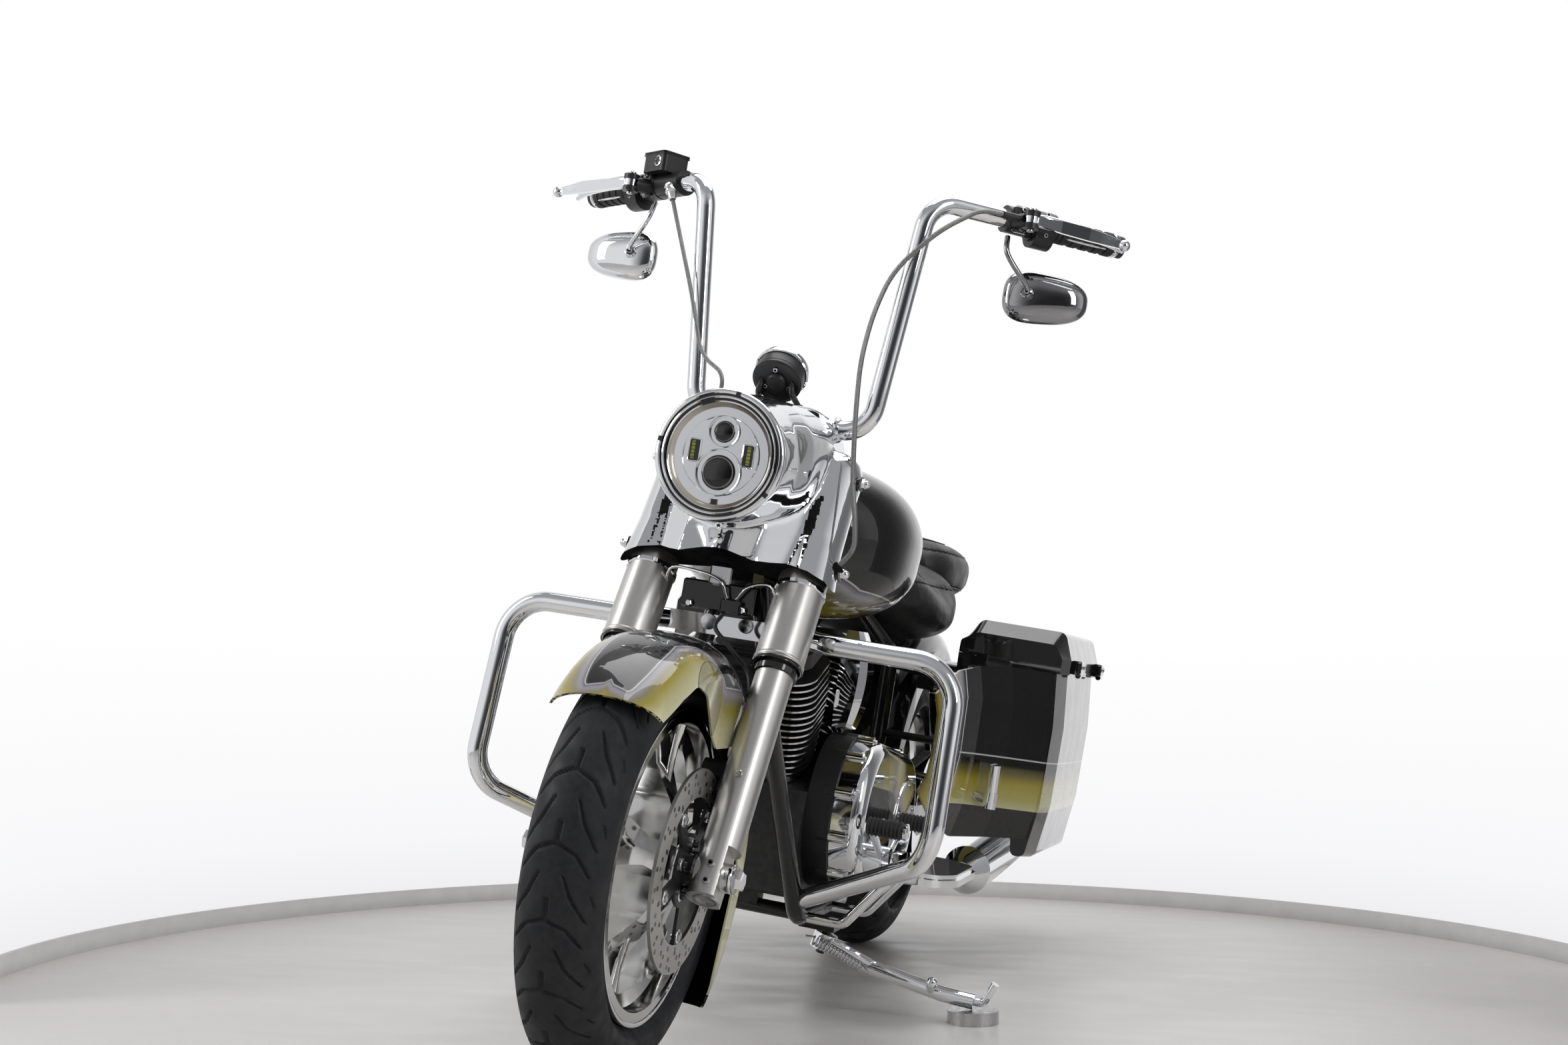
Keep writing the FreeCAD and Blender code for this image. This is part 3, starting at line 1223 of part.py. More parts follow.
def console_body():
    """The long dash on top of the tank."""
    top = size("tank_top")
    return loft([
        oval(500, 22, top + 2, top - 40, 2.6), oval(560, 44, top + 14, top - 30, 2.8),
        oval(660, 52, top + 18, top - 30, 2.8), oval(780, 40, top + 4, top - 40, 2.6),
        oval(880, 18, top - 36, top - 70, 2.4),
    ])


def tank_console():
    cap = Part.makeCylinder(34, 14, Vector(0, 640, size("tank_top") + 12), UP)
    publish("tank_console", joined(console_body(), cap))


def seats(chassis):
    """The rider's bucket and the raised passenger pad, each on its flat base."""
    half = size("seat_half_width")
    top = size("pillion_top")
    seat = loft([
        oval(905, half * 0.34, 922, 838, 2.2), oval(960, half * 0.5, 908, 806, 2.4),
        oval(1060, half * 0.78, 858, 744, 2.5), oval(1160, half * 0.96, 826, 706, 2.5),
        oval(1260, half, 832, 694, 2.5), oval(1322, half * 0.95, 862, 702, 2.5),
        oval(1350, half * 0.8, 868, 740, 2.4),
    ])
    seat = seat.cut(tank_body()).cut(console_body())
    pillion = loft([
        oval(1350.5, 96, top - 30, top - 104, 2.4), oval(1390, 134, top - 8, top - 124, 2.6),
        oval(1480, 152, top, top - 128, 2.8), oval(1580, 150, top - 2, top - 126, 2.8),
        oval(1650, 112, top - 22, top - 112, 2.4),
    ])
    plinth = plan_prism([(-70, 1380), (70, 1380), (84, 1460), (70, 1610), (-70, 1610), (-84, 1460)],
                        FENDER_CENTRE.z + 300, top - 100, [20, 20, 60, 20, 20, 60])
    pillion = joined(pillion, plinth)
    fender = rear_fender_solid()
    seat = seat.cut(fender).cut(chassis)
    publish("rider_seat", max(seat.Solids, key=lambda solid: solid.Volume))
    publish("pillion_seat", pillion.cut(fender))


FENDER_CENTRE = Vector(0, 1612, 336)


def rear_fender_solid():
    """The space inside the rear fender's outer face."""
    return Part.makeCylinder(size("rear_fender_radius") + 0.3, 2 * size("rear_fender_half_width"),
                             FENDER_CENTRE - ACROSS * size("rear_fender_half_width"), ACROSS)


def rear_fender():
    return fender_ring(FENDER_CENTRE, size("rear_fender_half_width"), size("rear_fender_radius"),
                       size("fender_wall"), 300, 70, -168)


def tail_lamp(fender):
    """A lamp on the fender's tail over a bare number plate."""
    lamp = front_prism([(-60, 560), (60, 560), (60, 620), (-60, 620)], 1890, 1996, 16)
    plate = front_prism([(-90, 400), (90, 400), (90, 530), (-90, 530)], 2026, 2030, 10)
    stay = block(-14, 14, 1950, 2026, 440, 575)
    body = joined(lamp, plate, stay).cut(fender)
    publish("tail_lamp", max(body.Solids, key=lambda solid: solid.Volume))


def bag_section(rearward, inset, flare, drop):
    """A saddlebag's section, stepped inboard over the silencer."""
    outer = size("bag_outer") - inset
    inner = size("bag_inner") + inset
    low = size("bag_bottom") + inset - drop
    step = 356 + inset
    seam = size("bag_seam")
    return [
        Vector(outer - flare - 8, rearward, seam - 6), Vector(outer - flare, rearward, 560),
        Vector(outer - flare - 4, rearward, 400), Vector(outer - flare - 22, rearward, low),
        Vector(376 + inset - flare * 0.3, rearward, low), Vector(368 + inset - flare * 0.3, rearward, step),
        Vector(inner + 30, rearward, step), Vector(inner, rearward, step + 40),
        Vector(inner, rearward, seam + 8),
    ]


BAG_BENDS = [0, 60, 60, 18, 12, 12, 16, 24, 0]


def bag_wire(rearward, inset, flare, drop):
    bends = [max(bend - inset, 3) if bend else 0 for bend in BAG_BENDS]
    return Part.Wire(round_edges(bag_section(rearward, inset, flare, drop), bends, closed=True))


def bag_body(inset):
    front = size("bag_front") + inset
    rear = size("bag_rear") - inset
    return loft([
        bag_wire(front, inset, 16, 0), bag_wire(front + 70, inset, 2, 4),
        bag_wire(rear - 90, inset, 0, 14), bag_wire(rear, inset, 26, 10),
    ], ruled=True)


def saddlebag():
    """A hollow tub, open at its top."""
    wall = size("bag_wall")
    cavity = bag_body(wall)
    rise = front_prism([(size("bag_inner") + wall, 640), (size("bag_outer") - wall - 34, 640),
                        (size("bag_outer") - wall - 34, 700), (size("bag_inner") + wall, 700)],
                       size("bag_front") + wall + 8, size("bag_rear") - wall - 8)
    return bag_body(0.0).cut(cavity).cut(rise)


def lid_section(rearward, inset, flare, crown):
    outer = size("bag_outer") - inset - flare
    inner = size("bag_inner") + inset
    seam = size("bag_seam") + size("lid_gap")
    top = size("lid_top") - inset - crown
    return [
        Vector(outer, rearward, seam - 6.6), Vector(outer + 1, rearward, seam + 24),
        Vector(outer - 18, rearward, top), Vector(inner + 34, rearward, top + 2),
        Vector(inner + 1, rearward, seam + 34), Vector(inner, rearward, seam + 8),
    ]


def lid_wire(rearward, inset, flare, crown):
    bends = [0, max(10 - inset, 2), max(18 - inset, 3), max(18 - inset, 3), max(10 - inset, 2), 0]
    return Part.Wire(round_edges(lid_section(rearward, inset, flare, crown), bends, closed=True))


def lid_body(inset):
    front = size("bag_front") + inset
    rear = size("bag_rear") - inset
    return loft([
        lid_wire(front, inset, 18, 30), lid_wire(front + 40, inset, 4, 2),
        lid_wire(rear - 60, inset, 2, 2), lid_wire(rear, inset, 28, 30),
    ], ruled=True)


def bag_lid():
    """A hollow lid, open below, with the two hinge leaves on its outer edge."""
    wall = size("bag_wall")
    shell = lid_body(0.0).cut(lid_body(wall))
    under = front_prism([(size("bag_inner") + wall, 650), (size("bag_outer") - wall - 34, 650),
                         (size("bag_outer") - wall - 34, 712), (size("bag_inner") + wall, 712)],
                        size("bag_front") + wall + 8, size("bag_rear") - wall - 8)
    return shell.cut(under)


HINGE_X = size("bag_outer") + 9
HINGE_Z = size("bag_seam") - 4


def hinge_leaves(lower):
    """Knuckles of the lid's two hinges: the outer ones on the tub, the inner one on the lid."""
    pieces = []
    for y in (1372, 1790):
        pin = Vector(HINGE_X, y, HINGE_Z)
        if lower:
            for offset in (-26, 14):
                pieces.append(rod(pin + REARWARD * offset, pin + REARWARD * (offset + 12), 6))
                pieces.append(block(size("bag_outer") - 3, HINGE_X + 4, y + offset, y + offset + 12,
                                    HINGE_Z - 34, HINGE_Z - 1))
        else:
            pieces.append(rod(pin - REARWARD * 12, pin + REARWARD * 12, 6))
            pieces.append(block(size("bag_outer") - 6, HINGE_X + 4, y - 12, y + 12,
                                HINGE_Z + 1, HINGE_Z + 30))
    return pieces


def bags():
    tub = joined(saddlebag(), *hinge_leaves(True))
    tub = tub.cut(bag_body(size("bag_wall"))).cut(lid_body(0.0))
    tub = max(tub.Solids, key=lambda solid: solid.Volume)
    lid = joined(bag_lid(), *hinge_leaves(False)).cut(lid_body(size("bag_wall")))
    lid = max(lid.Solids, key=lambda solid: solid.Volume)
    publish("saddlebag_left", tub)
    publish("saddlebag_right", mirrored(tub))
    publish("bag_lid_left", lid)
    publish("bag_lid_right", mirrored(lid))


def panel(sections, thickness):
    """A curved panel from rows of points, each row top to bottom, made thick inwards."""
    wires = []
    for row_points in sections:
        inner = [point - ACROSS * thickness for point in reversed(row_points)]
        wires.append(Part.makePolygon(row_points + inner + [row_points[0]]))
    return loft(wires, ruled=True)


COVER_WALL = 4.0


def cover_rows():
    """The left side cover's outer face as rows of points, each row top to bottom."""
    rows = [
        (1000, [(222, 600), (232, 560), (234, 500), (228, 440), (214, 410)]),
        (1060, [(250, 650), (262, 600), (264, 500), (254, 390), (240, 346)]),
        (1130, [(278, 664), (292, 600), (292, 480), (280, 380), (266, 322)]),
        (1200, [(330, 672), (346, 600), (344, 470), (334, 380), (322, 326)]),
        (1268, [(404, 672), (418, 600), (416, 470), (408, 380), (398, 330)]),
    ]
    return [[Vector(x, y, z) for x, z in row] for y, row in rows]


def side_covers():
    """Stretched panels that sweep from under the seat to the bags' front faces."""
    left = panel(cover_rows(), COVER_WALL).cut(passenger_peg_bracket(9.3))
    publish("side_cover_left", left)
    publish("side_cover_right", mirrored(left))


def cover_stays():
    """Rods on the frame that end on the inner face of the left side cover."""
    reach = 60.0
    beyond = panel([[point + ACROSS * (reach - COVER_WALL) for point in row] for row in cover_rows()], reach)
    stays = [rod(Vector(86, 1186, 500), Vector(360, 1186, 500), 8),
             rod(Vector(96, 1126, 640), Vector(310, 1126, 620), 7)]
    return [stay.cut(beyond) for stay in stays]


# Guard, boards, controls and stand


def engine_guard(chassis):
    """One bent bar in front of the engine, flattened behind the fork and clamped to the frame."""
    corner = size("guard_half_width")
    radius = size("guard_radius")
    middle = Vector(0, 321, 671)
    side = tube([middle + ACROSS * 112, Vector(170, 289, 667), Vector(corner - 6, 297, 666),
                 Vector(corner, 257, 364), Vector(120, 574, 226)], radius, [0, 40, 70, 70, 0])
    flat = block(-122, 122, middle.y - 7, middle.y + 7, middle.z - 16, middle.z + 16)
    clips = [block(x - 14, x + 14, middle.y, middle.y + 40, middle.z - 12, middle.z + 12) for x in (46, -46)]
    guard = joined(side, mirrored(side), flat, *clips).cut(chassis)
    publish("engine_guard", max(guard.Solids, key=lambda solid: solid.Volume))


def floorboards(chassis):
    """Rider's boards with their rubber tops, on two stays each."""
    inner = 237.0
    outer = inner + size("board_width")
    front = 548.0
    rear = front + size("board_length")
    top = size("board_height") + size("board_thickness") / 2
    low = top - size("board_thickness")
    pan = plan_prism([(inner, front + 20), (outer - 30, front), (outer, front + 70), (outer, rear - 40),
                      (outer - 50, rear), (inner, rear)], low, top - 8, [20, 40, 60, 40, 40, 30])
    pad = plan_prism([(inner + 6, front + 28), (outer - 34, front + 8), (outer - 6, front + 74),
                      (outer - 6, rear - 44), (outer - 54, rear - 6), (inner + 6, rear - 6)],
                     top - 8, top, [16, 36, 54, 36, 36, 26])
    stays = [tube([Vector(size("cradle_half_width"), y, size("cradle_height")),
                   Vector(190, y, size("cradle_height")), Vector(inner + 30, y, low + 2)], 9, 20)
             for y in (front + 66, rear - 50)]
    publish("floorboards", both_sides(joined(pan, pad, *stays)).cut(chassis))


def shift_lever():
    """Heel-and-toe lever on its shaft, with a rubber peg at each end."""
    x = 224.0
    toe = Vector(x, 566, 372)
    heel = Vector(x, 852, 362)
    pivot = Vector(x, 716, 306)
    arm = tube([toe, pivot + Vector(0, -40, 6), pivot + Vector(0, 40, 6), heel], 7, 30)
    shaft = rod(Vector(size("primary_outer"), pivot.y, pivot.z + 8), Vector(x + 10, pivot.y, pivot.z + 8), 12)
    pegs = []
    for end in (toe, heel):
        pegs.append(rod(end - ACROSS * 8, end + ACROSS * 62, 9))
        for index in range(4):
            start = end + ACROSS * (8 + index * 13)
            pegs.append(rod(start, start + ACROSS * 8, 12))
    publish("shift_lever", joined(arm, shaft, *pegs))


def brake_pedal(chassis):
    """Pedal with a broad rubber pad on the right."""
    pad = plan_prism([(-330, 500), (-250, 500), (-250, 590), (-330, 590)], 372, 386, 14)
    arm = tube([Vector(-266, 576, 376), Vector(-213, 598, 330), Vector(-206, 664, 222),
                Vector(-size("cradle_half_width"), 664, size("cradle_height"))], 8, 20)
    publish("brake_pedal", joined(pad, arm).cut(chassis))


def passenger_peg_bracket(radius):
    return tube([Vector(80, 1196, 438), Vector(220, 1180, 420), Vector(332, 1146, 404)], radius, 60)


def passenger_pegs(chassis):
    """Pegs folded up against the side covers, on brackets from the frame."""
    bracket = passenger_peg_bracket(9)
    peg = joined(rod(Vector(332, 1146, 388), Vector(333, 1146, 420), 14),
                 rod(Vector(333, 1146, 410), Vector(334, 1136, 476), 12))
    publish("passenger_pegs", both_sides(joined(bracket, peg)).cut(chassis))


def drive_belt():
    """A flat belt loop round the gearbox sprocket's place and the rear pulley."""
    front = (SPROCKET_Y, size("pivot_height"))
    rear = (REAR_AXLE.y, REAR_AXLE.z)
    outer = Part.Face(bean_outline(52, PULLEY_RADIUS + 6.5, front, rear)).extrude(ACROSS * 22)
    inner = Part.Face(bean_outline(46, PULLEY_RADIUS + 0.5, front, rear)).extrude(ACROSS * 22)
    belt = outer.cut(inner)
    belt.translate(ACROSS * 98)
    sprocket = Part.makeCylinder(45.5, 26, Vector(96, front[0], front[1]), ACROSS)
    shaft = Part.makeCylinder(14, 60, Vector(56, front[0], front[1]), ACROSS)
    publish("drive_belt", belt)
    publish("drive_sprocket", joined(sprocket, shaft))


def rear_caliper(arms):
    """A caliper over the right-hand disc, on a stay from the swinging arm."""
    body = side_prism([(1540, 440), (1600, 452), (1640, 448), (1640, 478), (1560, 482), (1530, 466)],
                      -128, -84, 10)
    slot = Part.makeCylinder(size("disc_radius") + 5, size("disc_thickness") + 10,
                             REAR_AXLE - ACROSS * (REAR_HUB_HALF + size("disc_thickness") + 5), ACROSS)
    stay = rod(Vector(-124, 1600, 470), Vector(-140, 1600, 344), 9)
    publish("rear_caliper", joined(body.cut(slot), stay).cut(arms))


def oil_cooler(chassis):
    """A finned cooler between the downtubes."""
    plates = [block(-48, 48, 352, 386, 504 + index * 16, 508 + index * 16) for index in range(9)]
    core = block(-40, 40, 360, 378, 500, 640)
    ears = [block(-92, 92, 344, 348, height, height + 14) for height in (510, 612)]
    webs = [block(-30, 30, 346, 362, height, height + 14) for height in (510, 612)]
    cooler = joined(core, *plates, *ears, *webs).cut(chassis)
    publish("oil_cooler", max(cooler.Solids, key=lambda solid: solid.Volume))


STAND_PIVOT = Vector(150, 665, 150)
STAND_PIN_RADIUS = 8.0
STAND_AXIS = Vector(0.22, 0, 0.9755).normalize()


def side_stand(chassis):
    """A stand with its pivot eye, bent leg, foot tab and the small peg that the boot finds."""
    radius = size("stand_radius")
    eye = rod(STAND_PIVOT - STAND_AXIS * 14, STAND_PIVOT + STAND_AXIS * 14, 21)
    bore = rod(STAND_PIVOT - STAND_AXIS * 30, STAND_PIVOT + STAND_AXIS * 30,
               STAND_PIN_RADIUS + size("running_gap"))
    foot = puck_top_upright()
    leg = tube([STAND_PIVOT, Vector(240, 660, 122), Vector(372, 650, 103), foot + UP * 13], radius, 40)
    tab = tube([foot + Vector(-6, 0, 13), foot + Vector(16, 0, 15), Vector(462, 642, 139)], 7, 10)
    peg = rod(Vector(352, 650, 105), Vector(358, 618, 124), 8)
    knob = Part.makeSphere(10, Vector(358, 618, 124))
    puck_place = Placement(Vector(size("puck_across"), size("puck_rearward"), 0), Rotation())
    top_solid = Part.makeCylinder(size("puck_radius"), size("puck_height"))
    top_solid.Placement = UNLEANED.multiply(puck_place)
    publish("side_stand", joined(eye, leg, tab, peg, knob).cut(bore).cut(top_solid))
    puck = bound("Cylinder", "puck_disc", Radius="Sizes.puck_radius", Height="Sizes.puck_height")
    edge = bound("Cylinder", "puck_recess", Radius="Sizes.puck_radius - 5", Height="2")
    foot_pad = bound_cut("stand_puck", puck, edge)
    foot_pad.Placement = STANDING.multiply(puck_place)
    nodes.append(foot_pad)
    near = Vector(124, 630, 158)
    far = Vector(244, 630, 118)
    spring = joined(rod(near, far, 9), rod(near, Vector(124, 648, 172), 4), rod(far, Vector(246, 660, 120), 4))
    publish("stand_spring", spring.cut(joined(eye, leg)).cut(chassis))


def puck_top_upright():
    """The middle of the puck's top, in the upright machine's frame."""
    top = Vector(size("puck_across"), size("puck_rearward"), size("puck_height"))
    return UNLEANED.multVec(top)


def write_parts():
    doc.recompute()
    for part in doc.Objects:
        if "Invalid" in part.State or "Error" in part.State:
            raise RuntimeError(f"{part.Label} failed: {part.State}")
    os.makedirs("parts", exist_ok=True)
    for part in nodes:
        shape = part.Shape
        if shape.isNull() or not shape.isValid():
            raise RuntimeError(f"{part.Label} is not a valid shape")
        shape.exportStep(f"parts/{part.Label}.step")


def main():
    front_wheel()
    rear_wheel()
    front_axle()
    fork_legs()
    fork_covers()
    handlebar()
    grips()
    hand_controls()
    yokes = triple_clamps()
    publish("triple_clamps", yokes)
    shell = nacelle(yokes)
    headlamp()
    gauge(yokes, shell)
    front_caliper()
    publish("front_fender", front_fender_shell())
    cable(cable_route(), size("cable_radius"), "clutch_cable")
    cable(hose_route(), size("hose_radius"), "brake_hose")
    chassis = frame()
    publish("frame", chassis)
    arms = swingarm()
    publish("swingarm", arms)
    rear_shocks()
    crankcase(chassis)
    cylinders(chassis)
    primary_cover()
    cam_cover()
    fuel_tank()
    tank_console()
    seats(chassis)
    fender = rear_fender()
    publish("rear_fender", fender)
    tail_lamp(fender)
    bags()
    side_covers()
    engine_guard(chassis)
    floorboards(chassis)
    shift_lever()
    brake_pedal(chassis)
    passenger_pegs(chassis)
    drive_belt()
    rear_caliper(arms)
    oil_cooler(chassis)
    side_stand(chassis)
    write_parts()


main()
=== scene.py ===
"""Looks of the leaning touring motorcycle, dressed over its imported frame."""
import json
import math

import bmesh
import bpy
import numpy
from mathutils import Matrix, Vector
from mathutils.bvhtree import BVHTree
from mathutils.kdtree import KDTree


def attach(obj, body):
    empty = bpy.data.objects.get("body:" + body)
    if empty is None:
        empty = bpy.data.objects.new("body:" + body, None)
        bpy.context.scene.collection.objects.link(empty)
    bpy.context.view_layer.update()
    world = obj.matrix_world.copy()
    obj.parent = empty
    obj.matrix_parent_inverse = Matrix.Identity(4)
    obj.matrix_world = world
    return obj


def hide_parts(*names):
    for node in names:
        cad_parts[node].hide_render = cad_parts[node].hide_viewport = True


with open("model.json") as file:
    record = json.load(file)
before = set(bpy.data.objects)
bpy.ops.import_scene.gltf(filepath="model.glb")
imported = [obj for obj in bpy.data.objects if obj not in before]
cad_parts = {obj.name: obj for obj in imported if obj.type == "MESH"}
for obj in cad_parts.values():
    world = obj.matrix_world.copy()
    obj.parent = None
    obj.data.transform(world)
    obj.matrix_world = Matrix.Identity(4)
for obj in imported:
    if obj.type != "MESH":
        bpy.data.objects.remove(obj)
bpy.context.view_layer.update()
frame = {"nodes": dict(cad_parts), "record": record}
NODES = frame["nodes"]

LEAN = math.radians(8.8)
LEAN_SIN, LEAN_COS = math.sin(LEAN), math.cos(LEAN)
CROWN = 0.060
SHIFT_X, SHIFT_Y = 0.1714, 0.855
AXLE = 320
FORK_SIDE = 124
RAKE_SIN, RAKE_COS = 0.4886, 0.8725


def leaned(x, y, z):
    """Upright millimetres, as numbers or as arrays, in the row's frame in metres."""
    x, y, z = x / 1000, y / 1000, z / 1000 - CROWN
    return x * LEAN_COS + z * LEAN_SIN - SHIFT_X, y - SHIFT_Y, CROWN - x * LEAN_SIN + z * LEAN_COS


def at(x, y, z):
    """A point of the upright machine in millimetres, in the row's frame in metres."""
    return Vector(leaned(x, y, z))


def toward(x, y, z):
    """An upright direction in the row's frame."""
    return Vector((x * LEAN_COS + z * LEAN_SIN, y, -x * LEAN_SIN + z * LEAN_COS)).normalized()


# Camera


def place_camera():
    """The photograph's camera, low in front of the machine's left side."""
    eye = Vector((0.79593, -3.46930, 0.55886))
    aim = Vector((0.01137, -0.55521, 0.83152))
    roll = math.radians(0.361)
    ahead = (aim - eye).normalized()
    level = ahead.cross(Vector((0, 0, 1))).normalized()
    rise = level.cross(ahead)
    right = level * math.cos(roll) + rise * math.sin(roll)
    up = rise * math.cos(roll) - level * math.sin(roll)
    data = bpy.data.cameras.new("camera")
    data.lens = 43.38
    data.sensor_width = 36.0
    data.clip_start = 0.05
    camera = bpy.data.objects.new("camera", data)
    bpy.context.scene.collection.objects.link(camera)
    turn = Matrix((right, up, -ahead)).transposed().to_4x4()
    camera.matrix_world = Matrix.Translation(eye) @ turn
    bpy.context.scene.camera = camera


# Materials


class Tree:
    """Adds nodes to the node tree of a material or a world."""

    def __init__(self, owner):
        owner.use_nodes = True
        self.nodes = owner.node_tree.nodes
        self.links = owner.node_tree.links

    def add(self, kind, **values):
        """A node with its settings and its inputs' values, given by name."""
        node = self.nodes.new("ShaderNode" + kind)
        for key, value in values.items():
            if hasattr(node, key):
                setattr(node, key, value)
            else:
                node.inputs[key.replace("_", " ")].default_value = value
        return node

    def feed(self, socket, value):
        """Links a socket to an output, or gives it a number, a colour or a vector."""
        if isinstance(value, bpy.types.NodeSocket):
            self.links.new(value, socket)
        elif socket.type == "RGBA" and len(value) == 3:
            socket.default_value = (*value, 1)
        else:
            socket.default_value = value

    def math(self, operation, first, second=0.5, third=None):
        node = self.add("Math", operation=operation)
        for index, value in enumerate((first, second, third)):
            if value is not None:
                self.feed(node.inputs[index], value)
        return node.outputs[0]

    def vector(self, operation, first, second=None):
        """An operation on vectors, some of which give a number."""
        node = self.add("VectorMath", operation=operation)
        self.feed(node.inputs[0], first)
        if second is not None:
            self.feed(node.inputs["Scale" if operation == "SCALE" else 1], second)
        return node.outputs["Value" if operation in ("DOT_PRODUCT", "DISTANCE", "LENGTH") else "Vector"]

    def split(self, vector):
        node = self.add("SeparateXYZ")
        self.feed(node.inputs[0], vector)
        return node.outputs[0], node.outputs[1], node.outputs[2]

    def combine(self, x, y, z):
        node = self.add("CombineXYZ")
        for socket, value in zip(node.inputs, (x, y, z)):
            self.feed(socket, value)
        return node.outputs[0]

    def span(self, value, low, high, to_low=0.0, to_high=1.0, smooth=True):
        """The value's place between low and high, on a new scale."""
        node = self.add("MapRange", interpolation_type="SMOOTHSTEP" if smooth else "LINEAR",
                        From_Min=low, From_Max=high, To_Min=to_low, To_Max=to_high)
        self.feed(node.inputs["Value"], value)
        return node.outputs["Result"]

    def mix(self, factor, first, second, blend_type="MIX"):
        node = self.add("Mix", data_type="RGBA", blend_type=blend_type)
        for index, value in ((0, factor), (6, first), (7, second)):
            self.feed(node.inputs[index], value)
        return node.outputs[2]

    def blend(self, factor, first, second):
        """A mix of two shaders."""
        node = self.add("MixShader")
        for socket, value in zip(node.inputs, (factor, first, second)):
            self.feed(socket, value)
        return node.outputs[0]

    def ramp(self, value, stops):
        node = self.add("ValToRGB")
        band = node.color_ramp
        while len(band.elements) > 1:
            band.elements.remove(band.elements[-1])
        band.elements[0].position = stops[0][0]
        band.elements[0].color = (*stops[0][1], 1)
        for position, colour in stops[1:]:
            band.elements.new(position).color = (*colour, 1)
        self.feed(node.inputs["Fac"], value)
        return node.outputs["Color"]


class Shader(Tree):
    """The tree of one new material, round its principled surface."""

    def __init__(self, name):
        self.material = bpy.data.materials.new(name)
        super().__init__(self.material)
        self.surface = self.nodes["Principled BSDF"]
        self.output = self.nodes["Material Output"]
        self.coords = None

    def object_coords(self):
        if self.coords is None:
            self.coords = self.add("TexCoord").outputs["Object"]
        return self.coords

    def upright(self):
        """Object coordinates turned back to the upright machine, in metres."""
        shifted = self.vector("ADD", self.object_coords(), (SHIFT_X, SHIFT_Y, 0))
        turn = self.add("VectorRotate", rotation_type="Y_AXIS", Center=(0, 0, CROWN), Angle=-LEAN)
        self.feed(turn.inputs["Vector"], shifted)
        return turn.outputs[0]

    def axes(self):
        """The upright machine's x, y and z."""
        return self.split(self.upright())

    def noise(self, scale, detail=3.0, rough=0.5, stretch=None):
        node = self.add("TexNoise", Scale=scale, Detail=detail, Roughness=rough)
        source = self.object_coords()
        if stretch:
            mapping = self.add("Mapping", Scale=stretch)
            self.feed(mapping.inputs["Vector"], source)
            source = mapping.outputs[0]
        self.feed(node.inputs["Vector"], source)
        return node.outputs["Fac"]

    def cloud(self, scale, low, high, detail=3.0):
        """A value that drifts between low and high over the surface."""
        return self.span(self.noise(scale, detail), 0.3, 0.7, low, high)

    def bump(self, height, strength, distance=0.001):
        node = self.add("Bump", Strength=strength, Distance=distance)
        self.feed(node.inputs["Height"], height)
        self.feed(self.surface.inputs["Normal"], node.outputs[0])

    def set(self, **values):
        for key, value in values.items():
            self.feed(self.surface.inputs[key.replace("_", " ")], value)


def metal(name, colour, rough, spread, scale, grain=0.0):
    s = Shader(name)
    s.set(Base_Color=colour, Metallic=1.0,
          Roughness=s.cloud(scale, max(rough - spread, 0.01), rough + spread, 4.0))
    if grain:
        s.bump(s.noise(700, 2.0, 0.6), grain, 0.0004)
    return s.material


def paint(name, colour, rough=0.22, coat=1.0, peel=0.02):
    s = Shader(name)
    s.set(Base_Color=colour, Coat_Weight=coat, Coat_Roughness=0.02, Specular_IOR_Level=0.15,
          Roughness=s.cloud(14, rough - 0.05, rough + 0.05))
    s.bump(s.noise(420, 1.0), peel, 0.0003)
    return s.material


def wrinkle_black():
    s = Shader("engine_black")
    s.set(Base_Color=s.ramp(s.noise(90, 4.0), [(0.3, (0.008, 0.008, 0.009)), (0.75, (0.022, 0.022, 0.024))]),
          Roughness=s.cloud(60, 0.38, 0.6))
    s.bump(s.noise(1500, 3.0, 0.7), 0.35, 0.0006)
    return s.material


def fin_black(axis_lean):
    """Black barrels whose fins' rims are machined bright."""
    s = Shader("cylinder_fins")
    axis = toward(0, -math.sin(axis_lean), math.cos(axis_lean))
    flat = s.math("ABSOLUTE", s.vector("DOT_PRODUCT", s.add("TexCoord").outputs["Normal"], axis))
    centre = s.vector("SUBTRACT", s.object_coords(), at(0, 690, 330))
    height = s.vector("DOT_PRODUCT", centre, axis)
    radial = s.vector("SUBTRACT", centre, s.vector("SCALE", axis, height))
    outer = s.math("GREATER_THAN", s.vector("LENGTH", radial), 0.0625)
    rim = s.math("MULTIPLY", s.math("LESS_THAN", flat, 0.35), outer)
    rim = s.math("MULTIPLY", rim, s.math("LESS_THAN", height, 0.318))
    s.set(Base_Color=s.mix(rim, (0.012, 0.012, 0.013), (0.72, 0.72, 0.73)), Metallic=rim,
          Roughness=s.math("ADD", 0.42, s.math("MULTIPLY", rim, -0.24)))
    s.bump(s.noise(1200, 3.0, 0.7), 0.2, 0.0004)
    return s.material


def tyre_rubber():
    s = Shader("tyre_rubber")
    s.set(Base_Color=s.ramp(s.noise(120, 5.0), [(0.25, (0.007, 0.008, 0.010)), (0.8, (0.019, 0.020, 0.023))]),
          Roughness=s.cloud(30, 0.50, 0.72, 4.0), Specular_IOR_Level=0.35)
    s.bump(s.noise(2600, 2.0), 0.1, 0.0002)
    return s.material


def grained(name, colour, rough, scale, strength):
    """A soft or moulded surface with a pebbled grain."""
    s = Shader(name)
    cells = s.add("TexVoronoi", feature="F1", Scale=scale)
    s.feed(cells.inputs["Vector"], s.object_coords())
    dark = tuple(channel * 0.55 for channel in colour)
    s.set(Base_Color=s.ramp(s.noise(60, 4.0), [(0.3, dark), (0.75, colour)]),
          Roughness=s.cloud(25, rough - 0.07, rough + 0.07))
    s.bump(cells.outputs["Distance"], strength, 0.0005)
    return s.material


